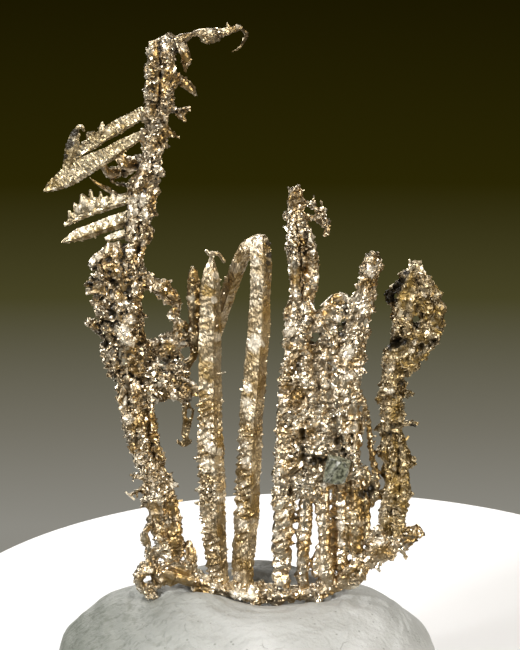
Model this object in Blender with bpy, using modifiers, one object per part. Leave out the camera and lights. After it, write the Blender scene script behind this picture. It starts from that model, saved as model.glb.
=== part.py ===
"""A native silver specimen: wires, blades and crusts of metal pressed into a lump of mounting putty.

The group stands along the X axis and faces -Y, with +Z up. The origin is on the flat underside of
the putty. Paths are hand-placed points in millimetres, and every shape is made in metres.
"""
import math
import random

import bpy
import bmesh
from mathutils import Euler, Matrix, Vector

MM = 0.001                  # one millimetre in metres

# Driving dimensions, in millimetres
PUTTY_HALF_WIDTH = 10.6
PUTTY_HALF_DEPTH = 8.5
PUTTY_HALF_HEIGHT = 5.0
PUTTY_MIDDLE_HEIGHT = 2.6
GROOVE_RADIUS = 1.15
GROOVE_HEIGHT = 7.75
FORK_GAP = 0.25             # clear space left between neighbouring solids
CRUST_GRAIN = 0.12          # grid that the fused crusts are rebuilt on
WIRE_GRAIN = 0.09           # the same for the thin wires
CUTTER_GRAIN = 0.16
WEB_THICKNESS = 1.0
HEAD_THICKNESS = 1.3
VIEW_SLOPE = math.tan(math.radians(20.0))   # heights are read from 20 degrees above, at mid depth

WELD = 0.001 * MM
CUTTER_DEPTH = 4.0          # half length of the cutters that pierce the crusts, in millimetres
FIRST_THINNING = 4          # faces kept before the holes are cut, as a multiple of the final count
CUBE_SHARE = 0.6            # of the small crystals; the rest are octahedra
OCTAHEDRON_RADIUS = 0.7     # against the side of a cube of the same size
BLADE_TWIST = math.radians(20)
WIRE_TWIST = math.radians(12)
REAR_TWIST = math.radians(30)

SILVER = (0.72, 0.60, 0.47)
BRONZED = (0.52, 0.40, 0.26)
PUTTY_GREY = (0.68, 0.69, 0.66)
GRAIN_GREEN = (0.42, 0.46, 0.40)


def spot(x, z, y=0.0):
    """A place from its side distance, its height as read at mid depth, and its depth."""
    return Vector((x, y, z - VIEW_SLOPE * y)) * MM


def clear_scene():
    for obj in list(bpy.data.objects):
        bpy.data.objects.remove(obj, do_unlink=True)


def new_collection(name):
    collection = bpy.data.collections.new(name)
    bpy.context.scene.collection.children.link(collection)
    return collection


def principled(name, colour, roughness, metallic):
    material = bpy.data.materials.new(name)
    material.use_nodes = True
    shader = material.node_tree.nodes["Principled BSDF"]
    shader.inputs["Base Color"].default_value = (*colour, 1.0)
    shader.inputs["Roughness"].default_value = roughness
    shader.inputs["Metallic"].default_value = metallic
    return material


def evaluated_mesh(obj):
    graph = bpy.context.evaluated_depsgraph_get()
    return bpy.data.meshes.new_from_object(obj.evaluated_get(graph))


def bake(obj):
    """Replace an object's mesh by what its modifiers make of it."""
    mesh = evaluated_mesh(obj)
    obj.modifiers.clear()
    old = obj.data
    obj.data = mesh
    bpy.data.meshes.remove(old)


def curve_into(bm, curve, matrix=Matrix.Identity(4)):
    """Add a curve's mesh, with its caps welded, to a bmesh."""
    obj = bpy.data.objects.new("path", curve)
    bpy.context.scene.collection.objects.link(obj)
    mesh = evaluated_mesh(obj)
    mesh.transform(matrix)
    piece = bmesh.new()
    piece.from_mesh(mesh)
    bmesh.ops.remove_doubles(piece, verts=piece.verts, dist=WELD)
    piece.to_mesh(mesh)
    piece.free()
    bm.from_mesh(mesh)
    bpy.data.objects.remove(obj, do_unlink=True)
    bpy.data.curves.remove(curve)
    bpy.data.meshes.remove(mesh)


def smooth(points, step=0.5):
    """Points about a step apart on a smooth path through hand-placed (x, z, y, radius) points."""
    knots = [Vector(point) for point in points]
    knots = [2 * knots[0] - knots[1]] + knots + [2 * knots[-1] - knots[-2]]
    path = []
    for before, start, end, after in zip(knots, knots[1:], knots[2:], knots[3:]):
        pieces = max(1, round((end - start).to_3d().length / step))
        for index in range(pieces):
            t = index / pieces
            path.append(0.5 * (2 * start + (end - before) * t
                               + (2 * before - 5 * start + 4 * end - after) * t * t
                               + (3 * start - before - 3 * end + after) * t ** 3))
    path.append(knots[-2])
    return path


def add_stem(bm, points, sides=6, ledge=0.0, dice=None, step=0.5, twist=0.0):
    """Add a tapering stem; its radius jumps by up to a ledge at each point."""
    path = smooth(points, step)
    curve = bpy.data.curves.new("stem", "CURVE")
    curve.dimensions = "3D"
    curve.bevel_depth = MM
    curve.bevel_resolution = (sides - 4) // 2
    curve.use_fill_caps = True
    spline = curve.splines.new("POLY")
    spline.points.add(len(path) - 1)
    for point, (x, z, y, radius) in zip(spline.points, path):
        point.co = (*spot(x, z, y), 1.0)
        jump = dice.uniform(-ledge, ledge) if ledge else 0.0
        point.radius = radius * (1.0 + jump)
        point.tilt = twist
    curve_into(bm, curve)
    return path


def add_plate(bm, outline, depth, thickness):
    """Add a flat plate from an outline of (x, z) points, standing across the view."""
    curve = bpy.data.curves.new("plate", "CURVE")
    curve.dimensions = "2D"
    curve.fill_mode = "BOTH"
    curve.extrude = 0.5 * thickness * MM
    spline = curve.splines.new("POLY")
    spline.points.add(len(outline) - 1)
    spline.use_cyclic_u = True
    for point, (x, z) in zip(spline.points, outline):
        point.co = (x * MM, z * MM, 0.0, 1.0)
    upright = Matrix.Translation(spot(0.0, 0.0, depth)) @ Matrix.Rotation(math.pi / 2, 4, "X")
    curve_into(bm, curve, upright)


def add_spike(bm, base, tip, width):
    """Add a pointed four-sided crystal from base to tip, each (x, z, y)."""
    foot, point = spot(*base), spot(*tip)
    along = point - foot
    turn = along.to_track_quat("Z", "Y").to_matrix().to_4x4()
    bmesh.ops.create_cone(bm, cap_ends=True, segments=4, radius1=0.5 * width * MM,
                          radius2=0.1 * width * MM, depth=along.length,
                          matrix=Matrix.Translation(foot + 0.5 * along) @ turn)


def add_lump(bm, centre, radii, turn=0.0):
    """Add a rounded, faceted lump; radii are along x, z and y."""
    size = Matrix.Diagonal((radii[0] * MM, radii[2] * MM, radii[1] * MM, 1.0))
    tip = Matrix.Rotation(turn, 4, "Y")
    bmesh.ops.create_icosphere(bm, subdivisions=1, radius=1.0,
                               matrix=Matrix.Translation(spot(*centre)) @ tip @ size)


def add_crystals(bm, path, dice, per_mm, smallest, largest, reach=0.85):
    """Scatter small turned cubes and octahedra over the surface of a stem's path."""
    for start, end in zip(path, path[1:]):
        along = spot(*end.xyz) - spot(*start.xyz)
        count = int(per_mm * along.length / MM + dice.random())
        for _ in range(count):
            here = start.lerp(end, dice.random())
            around = dice.uniform(0.0, 2.0 * math.pi)
            side = along.normalized().orthogonal().normalized()
            out = Matrix.Rotation(around, 3, along) @ side
            size = dice.uniform(smallest, largest)
            centre = spot(here.x, here.y, here.z) + out * (reach * here.w * MM)
            turn = Euler([dice.uniform(0.0, math.pi) for _ in range(3)]).to_matrix().to_4x4()
            place = Matrix.Translation(centre) @ turn
            if dice.random() < CUBE_SHARE:
                bmesh.ops.create_cube(bm, size=size * MM, matrix=place)
            else:
                bmesh.ops.create_uvsphere(bm, u_segments=4, v_segments=2,
                                          radius=OCTAHEDRON_RADIUS * size * MM, matrix=place)


def as_object(name, bm, collection):
    mesh = bpy.data.meshes.new(name)
    bm.to_mesh(mesh)
    bm.free()
    obj = bpy.data.objects.new(name, mesh)
    collection.objects.link(obj)
    return obj


def as_cutter(name, bm, collection):
    """Make an object that only cuts others, and is not part of the specimen."""
    obj = as_object(name, bm, collection)
    obj.hide_render = True
    obj.display_type = "WIRE"
    return obj


def rebuild(obj, grain):
    """Fuse overlapping shapes into one skin."""
    remesh = obj.modifiers.new("fuse", "REMESH")
    remesh.mode = "VOXEL"
    remesh.voxel_size = grain * MM


def thin_out(obj, faces):
    """Simplify to about a number of triangles, which leaves flat, irregular crystal faces."""
    bake(obj)
    triangles = sum(len(face.vertices) - 2 for face in obj.data.polygons)
    if triangles > faces:
        decimate = obj.modifiers.new("facets", "DECIMATE")
        decimate.ratio = faces / triangles
        decimate.use_collapse_triangulate = True
        bake(obj)


def cut(obj, cutter):
    boolean = obj.modifiers.new("cut", "BOOLEAN")
    boolean.operation = "DIFFERENCE"
    boolean.solver = "EXACT"
    boolean.object = cutter
    bake(obj)


def islands(bm):
    """The separate shells of a bmesh, each as a list of vertices."""
    left = set(bm.verts)
    shells = []
    while left:
        wave = [left.pop()]
        shell = list(wave)
        while wave:
            vertex = wave.pop()
            for edge in vertex.link_edges:
                other = edge.other_vert(vertex)
                if other in left:
                    left.remove(other)
                    wave.append(other)
                    shell.append(other)
        shells.append(shell)
    return shells


def keep_largest(obj):
    """Drop loose chips, and weld and triangulate what stays."""
    bm = bmesh.new()
    bm.from_mesh(obj.data)
    bmesh.ops.remove_doubles(bm, verts=bm.verts, dist=WELD)
    bm.verts.ensure_lookup_table()
    shells = sorted(islands(bm), key=lambda shell: (-len(shell), min(v.index for v in shell)))
    for shell in shells[1:]:
        bmesh.ops.delete(bm, geom=shell, context="VERTS")
    bmesh.ops.triangulate(bm, faces=bm.faces)
    bm.to_mesh(obj.data)
    bm.free()


def corners(obj):
    places = [obj.matrix_world @ Vector(corner) for corner in obj.bound_box]
    low = Vector([min(place[axis] for place in places) for axis in range(3)])
    high = Vector([max(place[axis] for place in places) for axis in range(3)])
    return low, high


def boxes_meet(one, other):
    (low_a, high_a), (low_b, high_b) = corners(one), corners(other)
    return all(low_a[axis] < high_b[axis] and low_b[axis] < high_a[axis] for axis in range(3))


class Specimen:
    """The pieces made so far, each with a swollen copy that later pieces are cut back from."""

    def __init__(self, name):
        self.parts = new_collection(name)
        self.cutters = new_collection(name + "_cutters")
        self.swollen = []

    def swell(self, obj):
        bm = bmesh.new()
        bm.from_mesh(obj.data)
        copy = as_cutter(obj.name + "_clearance", bm, self.cutters)
        displace = copy.modifiers.new("swell", "DISPLACE")
        displace.mid_level = 0.0
        displace.strength = FORK_GAP * MM
        rebuild(copy, CUTTER_GRAIN)
        thin_out(copy, 2 * len(obj.data.polygons))
        keep_largest(copy)
        self.swollen.append(copy)

    def pierce(self, obj, outline):
        """Cut a hole of an (x, z) outline through a piece, from front to back."""
        bm = bmesh.new()
        add_plate(bm, outline, 0.0, 2.0 * CUTTER_DEPTH)
        cut(obj, as_cutter(obj.name + "_hole", bm, self.cutters))

    def place(self, obj, faces, material):
        """Cut a piece back from its neighbours, thin it out and give it its material."""
        for neighbour in self.swollen:
            if boxes_meet(obj, neighbour):
                cut(obj, neighbour)
        keep_largest(obj)
        thin_out(obj, faces)
        keep_largest(obj)
        obj.data.materials.clear()
        obj.data.materials.append(material)

    def branch(self, name, bm, faces, material, holes=(), pits=(), grain=CRUST_GRAIN):
        """Fuse the shapes of one branch, cut its holes and (centre, radii) pits, and place it."""
        obj = as_object(name, bm, self.parts)
        rebuild(obj, grain)
        thin_out(obj, FIRST_THINNING * faces)
        for outline in holes:
            self.pierce(obj, outline)
        for centre, radii in pits:
            pit = bmesh.new()
            add_lump(pit, centre, radii)
            cut(obj, as_cutter(name + "_pit", pit, self.cutters))
        self.place(obj, faces, material)
        self.swell(obj)


def add_ribs(bm, places, half_width, rise, depth, width):
    """Add slanting ribs across the front of a wire, rising to the right at each (x, z) place."""
    for x, z in places:
        add_stem(bm, [(x - half_width, z - rise, 0.72 * depth, width),
                      (x, z, depth, 1.1 * width),
                      (x + half_width, z + rise, 0.72 * depth, width)], sides=4)


def dagger_wire(specimen):
    dice = random.Random(11)
    bm = bmesh.new()
    body = [(-1.87, 26.5, -0.4, 0.1), (-1.87, 26.1, -0.4, 0.3), (-1.92, 25.5, -0.4, 0.48),
            (-1.92, 24.65, -0.4, 0.58), (-1.92, 22.9, -0.4, 0.62), (-1.98, 21.15, -0.4, 0.64),
            (-1.98, 19.4, -0.4, 0.66), (-1.98, 17.6, -0.4, 0.68), (-1.98, 15.85, -0.4, 0.76),
            (-1.95, 14.4, -0.4, 0.78), (-1.87, 12.95, -0.3, 0.76), (-1.87, 11.2, -0.2, 0.78),
            (-1.76, 9.7, -0.1, 0.7), (-1.65, 8.7, 0.0, 0.64), (-1.5, 7.9, 0.0, 0.6)]
    add_stem(bm, body, sides=4, ledge=0.07, dice=dice, step=0.7, twist=WIRE_TWIST)
    crown = [(-2.2, 26.95, -0.4, 0.12), (-1.87, 26.7, -0.4, 0.14), (-1.45, 26.7, -0.4, 0.13),
             (-1.2, 26.3, -0.4, 0.12)]
    add_stem(bm, crown)
    add_spike(bm, (-1.75, 19.8, -0.5), (-1.1, 19.8, -0.6), 0.3)
    for height in (17.9, 14.6, 13.0, 12.1):
        add_spike(bm, (-2.2, height, -0.4), (-2.85, height - 0.15, -0.6), 0.35)
    front_ribs = [(-2.05, 17.0 - 0.85 * row) for row in range(10)]
    add_ribs(bm, front_ribs, half_width=0.5, rise=0.2, depth=-1.0, width=0.13)
    specimen.branch("dagger_wire", bm, 380, principled("dagger_silver", SILVER, 0.3, 1.0))


def hairpin_wire(specimen):
    dice = random.Random(12)
    bm = bmesh.new()
    front = [(0.77, 27.75, 0.0, 0.36), (0.77, 27.3, -0.1, 0.56), (0.83, 25.8, -0.2, 0.6),
             (0.77, 24.05, -0.2, 0.6), (0.7, 22.3, -0.2, 0.63), (0.55, 20.55, -0.2, 0.65),
             (0.44, 18.8, -0.2, 0.67), (0.27, 17.0, -0.2, 0.68), (0.2, 15.3, -0.2, 0.71),
             (0.1, 13.5, -0.2, 0.71), (0.05, 11.75, -0.1, 0.72), (-0.05, 10.0, -0.1, 0.69),
             (-0.17, 8.55, 0.0, 0.65), (-0.1, 7.6, 0.0, 0.55)]
    add_stem(bm, front, sides=4, ledge=0.06, dice=dice, step=0.7, twist=WIRE_TWIST)
    rear = [(0.6, 27.55, 0.1, 0.34), (0.1, 27.2, 0.3, 0.42), (-0.2, 26.6, 0.5, 0.45),
            (-0.5, 25.8, 0.7, 0.45), (-0.83, 24.9, 0.9, 0.46), (-1.1, 24.05, 1.1, 0.46),
            (-1.43, 23.0, 1.3, 0.43), (-1.75, 21.8, 1.5, 0.4), (-2.05, 20.65, 1.6, 0.34),
            (-2.2, 19.8, 1.6, 0.22)]
    add_stem(bm, rear, sides=4, ledge=0.05, dice=dice, step=0.7, twist=REAR_TWIST)
    for height in (27.2, 21.2, 15.4, 14.2, 13.1):
        add_spike(bm, (0.6, height, -0.1), (1.25, height + 0.1, -0.1), 0.35)
    front_ribs = [(-0.05, 15.6 - 0.8 * row) for row in range(8)]
    add_ribs(bm, front_ribs, half_width=0.45, rise=0.2, depth=-0.85, width=0.13)
    specimen.branch("hairpin_wire", bm, 450, principled("hairpin_silver", SILVER, 0.3, 1.0))


def root_ridge(specimen):
    dice = random.Random(13)
    bm = bmesh.new()
    crest = [(-5.3, 7.8, -0.3, 0.42), (-4.45, 8.05, -0.2, 0.6), (-3.65, 7.9, -0.1, 0.66),
             (-2.7, 7.5, 0.0, 0.58), (-1.8, 7.15, 0.0, 0.5), (-0.75, 6.85, -0.1, 0.48),
             (0.35, 6.7, -0.1, 0.5), (1.6, 6.6, -0.1, 0.45), (3.0, 6.65, 0.0, 0.42),
             (4.2, 6.9, 0.0, 0.48), (5.3, 7.5, 0.1, 0.52), (6.3, 8.3, 0.1, 0.56),
             (7.25, 9.15, 0.2, 0.58), (8.3, 9.7, 0.3, 0.58), (9.1, 10.0, 0.4, 0.46),
             (9.6, 10.7, 0.4, 0.2)]
    path = add_stem(bm, crest, ledge=0.1, dice=dice)
    add_crystals(bm, path, dice, 4.2, 0.3, 0.6, reach=1.0)
    knot = [(-4.9, 8.2, -0.4, 0.3), (-5.75, 8.3, -0.5, 0.3), (-6.1, 7.75, -0.5, 0.3),
            (-5.95, 7.15, -0.5, 0.3), (-5.5, 6.6, -0.5, 0.26), (-4.85, 6.5, -0.4, 0.2)]
    path = add_stem(bm, knot)
    add_crystals(bm, path, dice, 2.0, 0.2, 0.35)
    add_stem(bm, [(-4.4, 7.6, -0.2, 0.35), (-5.0, 7.2, -0.4, 0.3), (-5.7, 7.05, -0.5, 0.28)])
    stem = [(-5.2, 8.3, -0.4, 0.22), (-5.35, 9.3, -0.5, 0.23), (-5.7, 10.2, -0.6, 0.26),
            (-5.45, 10.75, -0.6, 0.26), (-5.2, 10.5, -0.6, 0.18)]
    path = add_stem(bm, stem)
    add_crystals(bm, path, dice, 1.6, 0.2, 0.35)
    leaf = [(-3.15, 8.0, -0.3, 0.42), (-3.1, 8.8, -0.4, 0.42), (-3.05, 9.35, -0.4, 0.28),
            (-3.15, 10.0, -0.4, 0.08)]
    add_stem(bm, leaf, sides=4)
    add_spike(bm, (-2.95, 8.9, -0.4), (-2.6, 9.5, -0.4), 0.35)
    add_spike(bm, (0.45, 6.8, -0.4), (0.5, 7.8, -0.4), 0.55)
    add_spike(bm, (0.15, 6.8, -0.4), (0.1, 7.5, -0.3), 0.45)
    add_spike(bm, (9.1, 10.0, 0.4), (9.65, 10.95, 0.4), 0.6)
    add_spike(bm, (9.0, 9.8, 0.4), (8.95, 8.95, 0.3), 0.4)
    add_spike(bm, (9.0, 10.1, 0.4), (9.2, 10.75, 0.2), 0.4)
    add_spike(bm, (7.5, 9.0, 0.2), (7.4, 8.45, 0.0), 0.4)
    specimen.branch("root_ridge", bm, 740, principled("root_silver", SILVER, 0.32, 1.0))


def crust_web(specimen):
    dice = random.Random(14)
    bm = bmesh.new()
    column = [(3.1, 23.8, 0.0, 0.68), (2.9, 22.6, 0.0, 0.68), (2.8, 21.1, 0.0, 0.65),
              (2.65, 19.95, 0.0, 0.7), (2.6, 18.2, 0.0, 0.7), (2.4, 16.5, 0.0, 0.7),
              (2.3, 14.7, 0.0, 0.6), (2.15, 13.4, 0.0, 0.56)]
    path = add_stem(bm, column, ledge=0.08, dice=dice)
    add_crystals(bm, path, dice, 3.6, 0.35, 0.7, reach=0.95)
    thumb = [(6.5, 24.3, 0.0, 0.62), (6.35, 23.5, 0.0, 0.7), (6.25, 22.3, 0.0, 0.6),
             (6.05, 21.1, 0.0, 0.6), (5.8, 20.0, 0.0, 0.68), (5.7, 18.2, 0.0, 0.68),
             (5.8, 16.5, 0.0, 0.58), (6.0, 14.7, 0.0, 0.42), (6.0, 13.6, 0.0, 0.36)]
    path = add_stem(bm, thumb, ledge=0.08, dice=dice)
    add_crystals(bm, path, dice, 3.6, 0.35, 0.65, reach=0.95)
    sheet = [(2.97, 23.0), (4.2, 23.55), (4.8, 24.1), (5.45, 24.2), (6.05, 23.8), (6.4, 22.3),
             (6.3, 21.4), (6.0, 18.2), (5.85, 15.9), (5.95, 13.5), (5.4, 13.4), (4.6, 13.2),
             (4.35, 12.6), (3.6, 12.6), (2.95, 12.5), (2.4, 13.5), (2.4, 16.5), (2.6, 18.2),
             (2.45, 20.5), (2.8, 22.0)]
    add_plate(bm, sheet, 0.0, WEB_THICKNESS)
    rows = [[(3.3, 22.6, -0.2, 0.5), (3.6, 20.0, -0.3, 0.5), (3.5, 17.0, -0.3, 0.5),
             (3.4, 14.0, -0.2, 0.4)],
            [(4.6, 23.2, -0.1, 0.5), (4.6, 20.5, -0.3, 0.5), (4.5, 17.5, -0.35, 0.5),
             (4.3, 14.8, -0.2, 0.4)],
            [(4.0, 20.5, 0.3, 0.4), (4.1, 17.0, 0.35, 0.4), (4.0, 14.0, 0.2, 0.4)],
            [(5.1, 21.5, 0.2, 0.4), (5.1, 18.0, 0.3, 0.4), (5.2, 14.6, 0.2, 0.4)]]
    for row in rows:
        add_crystals(bm, smooth(row), dice, 2.6, 0.45, 0.85, reach=0.8)
    web_ribs = [(3.2, 15.5), (3.4, 16.4), (3.5, 17.6), (4.5, 16.1), (4.7, 17.3)]
    add_ribs(bm, web_ribs, half_width=0.6, rise=0.25, depth=-0.7, width=0.18)
    add_lump(bm, (3.0, 22.1, -0.3), (0.5, 0.7, 0.45), 0.3)
    add_spike(bm, (3.3, 13.4, -0.4), (4.25, 12.75, -0.8), 0.6)
    add_spike(bm, (2.6, 21.6, 0.0), (1.9, 21.4, -0.1), 0.6)
    add_spike(bm, (2.5, 20.2, 0.0), (1.85, 19.9, -0.1), 0.5)
    add_spike(bm, (6.2, 20.2, 0.0), (6.85, 19.65, -0.1), 0.45)
    add_spike(bm, (6.3, 22.4, 0.0), (6.95, 22.4, 0.0), 0.5)
    left_hole = [(3.6, 22.3), (4.0, 22.3), (4.1, 21.9), (3.8, 21.5), (3.55, 21.7)]
    right_hole = [(5.15, 23.15), (5.42, 23.15), (5.38, 22.5), (5.2, 22.0), (5.03, 22.3)]
    specimen.branch("crust_web", bm, 1060, principled("web_silver", SILVER, 0.3, 1.0),
                    holes=(left_hole, right_hole))


def tall_column(specimen):
    dice = random.Random(15)
    bm = bmesh.new()
    left = [(2.9, 24.2, 0.0, 0.6), (2.7, 25.0, 0.0, 0.42), (2.65, 26.2, 0.0, 0.4),
            (2.65, 27.5, -0.05, 0.45), (2.7, 28.3, 0.0, 0.5), (2.7, 29.3, 0.05, 0.5),
            (2.7, 30.0, 0.1, 0.46), (2.7, 30.5, 0.1, 0.4)]
    path = add_stem(bm, left, ledge=0.06, dice=dice)
    add_crystals(bm, path[4:], dice, 2.2, 0.25, 0.5, reach=0.95)
    right = [(3.1, 24.2, 0.1, 0.6), (3.5, 24.8, 0.1, 0.44), (3.62, 25.9, 0.1, 0.48),
             (3.5, 27.1, 0.1, 0.44), (3.2, 28.2, 0.1, 0.32), (3.05, 29.0, 0.1, 0.18)]
    path = add_stem(bm, right, sides=4, ledge=0.05, dice=dice)
    add_crystals(bm, path, dice, 1.6, 0.18, 0.36)
    crook = [(3.0, 29.6, 0.1, 0.22), (3.65, 29.6, 0.2, 0.22), (3.95, 29.35, 0.3, 0.17),
             (4.15, 28.8, 0.3, 0.15), (4.4, 28.4, 0.3, 0.2), (4.5, 27.95, 0.3, 0.2),
             (4.3, 27.75, 0.3, 0.14)]
    path = add_stem(bm, crook)
    add_crystals(bm, path, dice, 1.2, 0.2, 0.3)
    add_stem(bm, [(3.2, 29.0, 0.2, 0.18), (3.8, 28.75, 0.3, 0.2), (4.4, 28.45, 0.3, 0.2)])
    add_spike(bm, (3.7, 29.6, 0.2), (3.75, 30.35, 0.2), 0.5)
    add_spike(bm, (4.35, 28.6, 0.3), (4.68, 29.15, 0.3), 0.26)
    add_spike(bm, (2.4, 30.4, 0.0), (2.2, 30.75, -0.2), 0.4)
    add_spike(bm, (2.9, 30.4, 0.1), (2.95, 30.95, 0.1), 0.5)
    specimen.branch("tall_column", bm, 480, principled("column_silver", SILVER, 0.3, 1.0))


def thumb_column(specimen):
    dice = random.Random(16)
    bm = bmesh.new()
    body = [(6.5, 24.8, 0.0, 0.6), (6.75, 25.3, 0.05, 0.56), (6.9, 26.1, 0.1, 0.56),
            (7.0, 26.6, 0.1, 0.42), (7.1, 26.85, 0.1, 0.26)]
    path = add_stem(bm, body, ledge=0.08, dice=dice)
    add_crystals(bm, path, dice, 3.2, 0.3, 0.55, reach=0.95)
    add_spike(bm, (6.6, 26.0, 0.1), (6.1, 26.3, 0.0), 0.4)
    add_spike(bm, (7.2, 26.0, 0.1), (7.6, 26.3, 0.1), 0.4)
    add_spike(bm, (6.3, 24.7, 0.0), (5.9, 25.1, -0.1), 0.4)
    specimen.branch("thumb_column", bm, 190, principled("thumb_silver", SILVER, 0.3, 1.0))


def head_column(specimen):
    dice = random.Random(17)
    bm = bmesh.new()
    shaft = [(8.2, 10.4, 0.3, 0.5), (8.3, 11.0, 0.4, 0.58), (8.35, 12.3, 0.5, 0.8),
             (8.35, 13.8, 0.5, 0.84), (8.25, 15.3, 0.6, 0.82), (8.05, 16.4, 0.6, 0.7),
             (8.05, 17.6, 0.6, 0.74), (8.0, 19.1, 0.7, 0.68), (8.2, 20.4, 0.7, 0.74),
             (8.5, 21.3, 0.8, 0.8)]
    path = add_stem(bm, shaft, ledge=0.1, dice=dice)
    add_crystals(bm, path, dice, 4.4, 0.32, 0.62, reach=0.98)
    outline = [(7.95, 20.9), (7.95, 21.8), (8.2, 23.2), (8.35, 23.9), (8.8, 24.8), (8.95, 25.8),
               (9.25, 26.3), (9.75, 25.9), (10.05, 25.1), (10.5, 24.5), (10.6, 23.6),
               (10.9, 22.9), (10.85, 22.1), (10.4, 21.5), (9.9, 20.85), (9.35, 20.4),
               (9.2, 19.7), (8.6, 19.6), (7.9, 19.9)]
    add_plate(bm, outline, 0.8, HEAD_THICKNESS)
    for lump in ((9.5, 24.3, 0.5, 0.8), (10.1, 22.4, 0.6, 0.75), (8.75, 22.7, 0.4, 0.6),
                 (9.6, 21.6, 1.2, 0.7), (9.3, 23.4, 1.3, 0.7), (9.1, 20.6, 0.5, 0.6)):
        x, z, y, radius = lump
        add_lump(bm, (x, z, y), (radius, radius, 0.7 * radius), dice.uniform(0.0, 1.0))
    rim = smooth([(8.2, 23.0, 0.8, 0.2), (8.9, 25.4, 0.8, 0.2), (9.5, 26.1, 0.8, 0.2),
                  (10.4, 24.5, 0.8, 0.2), (10.8, 22.6, 0.8, 0.2), (9.9, 21.0, 0.8, 0.2),
                  (9.2, 20.0, 0.8, 0.2)])
    add_crystals(bm, rim, dice, 3.0, 0.3, 0.55)
    face = smooth([(9.1, 25.0, 0.2, 0.4), (9.9, 23.8, 0.1, 0.4), (9.0, 22.2, 0.1, 0.4),
                   (10.2, 21.9, 0.2, 0.4), (9.2, 20.8, 0.2, 0.4)])
    add_crystals(bm, face, dice, 3.0, 0.35, 0.6)
    block = [(8.1, 23.7, 0.8, 0.3), (7.8, 24.3, 0.8, 0.4), (8.2, 24.8, 0.9, 0.34),
             (8.6, 25.2, 0.9, 0.3), (8.9, 25.8, 0.9, 0.2)]
    path = add_stem(bm, block, sides=4)
    add_crystals(bm, path, dice, 2.0, 0.3, 0.5)
    add_spike(bm, (9.3, 25.9, 0.8), (9.28, 26.5, 0.8), 0.5)
    add_spike(bm, (10.5, 22.9, 0.8), (11.05, 22.95, 0.8), 0.5)
    add_lump(bm, (9.1, 18.6, 0.7), (0.3, 0.26, 0.26))
    add_lump(bm, (8.65, 19.2, 0.8), (0.26, 0.3, 0.26))
    add_lump(bm, (9.15, 16.75, 0.6), (0.3, 0.22, 0.22))
    through_hole = [(9.15, 23.05), (9.5, 23.05), (9.52, 22.3), (9.2, 22.3)]
    hollow = ((8.2, 21.45, -0.1), (0.5, 0.34, 0.75))
    specimen.branch("head_column", bm, 890, principled("head_silver", SILVER, 0.32, 1.0),
                    holes=[through_hole], pits=[hollow])


def foot_rods(specimen):
    dice = random.Random(18)
    leg = [(2.1, 12.75, 0.0, 0.6), (2.1, 11.8, 0.0, 0.66), (2.05, 10.5, 0.0, 0.64),
           (1.95, 9.0, 0.0, 0.62), (1.95, 7.8, -0.05, 0.56), (2.0, 7.2, -0.1, 0.5)]
    bm = bmesh.new()
    path = add_stem(bm, leg, ledge=0.08, dice=dice)
    add_crystals(bm, path, dice, 1.0, 0.25, 0.4)
    front_ribs = [(2.0, 12.1 - 0.62 * row) for row in range(7)]
    add_ribs(bm, front_ribs, half_width=0.52, rise=0.25, depth=-0.62, width=0.15)
    specimen.branch("column_foot", bm, 240, principled("foot_silver", SILVER, 0.3, 1.0))
    rods = [[(3.3, 12.2, 0.0, 0.3), (3.25, 11.2, 0.0, 0.36), (3.2, 9.7, 0.0, 0.36),
             (3.15, 8.3, 0.0, 0.34), (3.05, 7.3, 0.0, 0.33)],
            [(4.3, 12.2, -0.1, 0.32), (4.35, 11.2, -0.1, 0.35), (4.35, 9.8, -0.1, 0.36),
             (4.3, 8.7, -0.1, 0.42), (4.25, 7.9, -0.1, 0.55)],
            [(5.3, 12.9, 0.25, 0.3), (5.3, 11.0, 0.25, 0.32), (5.3, 9.6, 0.25, 0.34),
             (5.2, 8.5, 0.2, 0.4)],
            [(6.0, 12.9, 0.1, 0.32), (6.15, 11.3, 0.1, 0.42), (6.15, 9.8, 0.1, 0.45),
             (6.1, 9.0, 0.1, 0.4)]]
    tones = [SILVER, SILVER, BRONZED, BRONZED]
    for number, (points, tone) in enumerate(zip(rods, tones), 1):
        bm = bmesh.new()
        path = add_stem(bm, points, ledge=0.08, dice=dice)
        add_crystals(bm, path, dice, 0.9, 0.18, 0.32)
        name = f"foot_rod_{number}"
        specimen.branch(name, bm, 86, principled(name + "_silver", tone, 0.32, 1.0))


def outer_rod(specimen):
    dice = random.Random(19)
    bm = bmesh.new()
    rod = [(6.6, 17.8, 0.35, 0.14), (6.75, 16.9, 0.35, 0.2), (6.85, 15.9, 0.35, 0.2),
           (7.0, 14.7, 0.35, 0.22), (7.2, 13.9, 0.3, 0.26), (7.35, 13.2, 0.3, 0.22),
           (7.25, 12.5, 0.3, 0.22), (6.95, 12.1, 0.3, 0.18)]
    add_stem(bm, rod, ledge=0.08, dice=dice)
    link = [(7.3, 13.5, 0.3, 0.2), (6.8, 13.25, 0.35, 0.24), (6.4, 13.0, 0.4, 0.2)]
    path = add_stem(bm, link)
    add_crystals(bm, path, dice, 2.0, 0.2, 0.35)
    path = add_stem(bm, [(6.75, 13.1, 0.6, 0.28), (6.9, 12.3, 0.6, 0.26)])
    add_crystals(bm, path, dice, 2.0, 0.25, 0.4)
    specimen.branch("outer_rod", bm, 170, principled("outer_silver", BRONZED, 0.34, 1.0))


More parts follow.
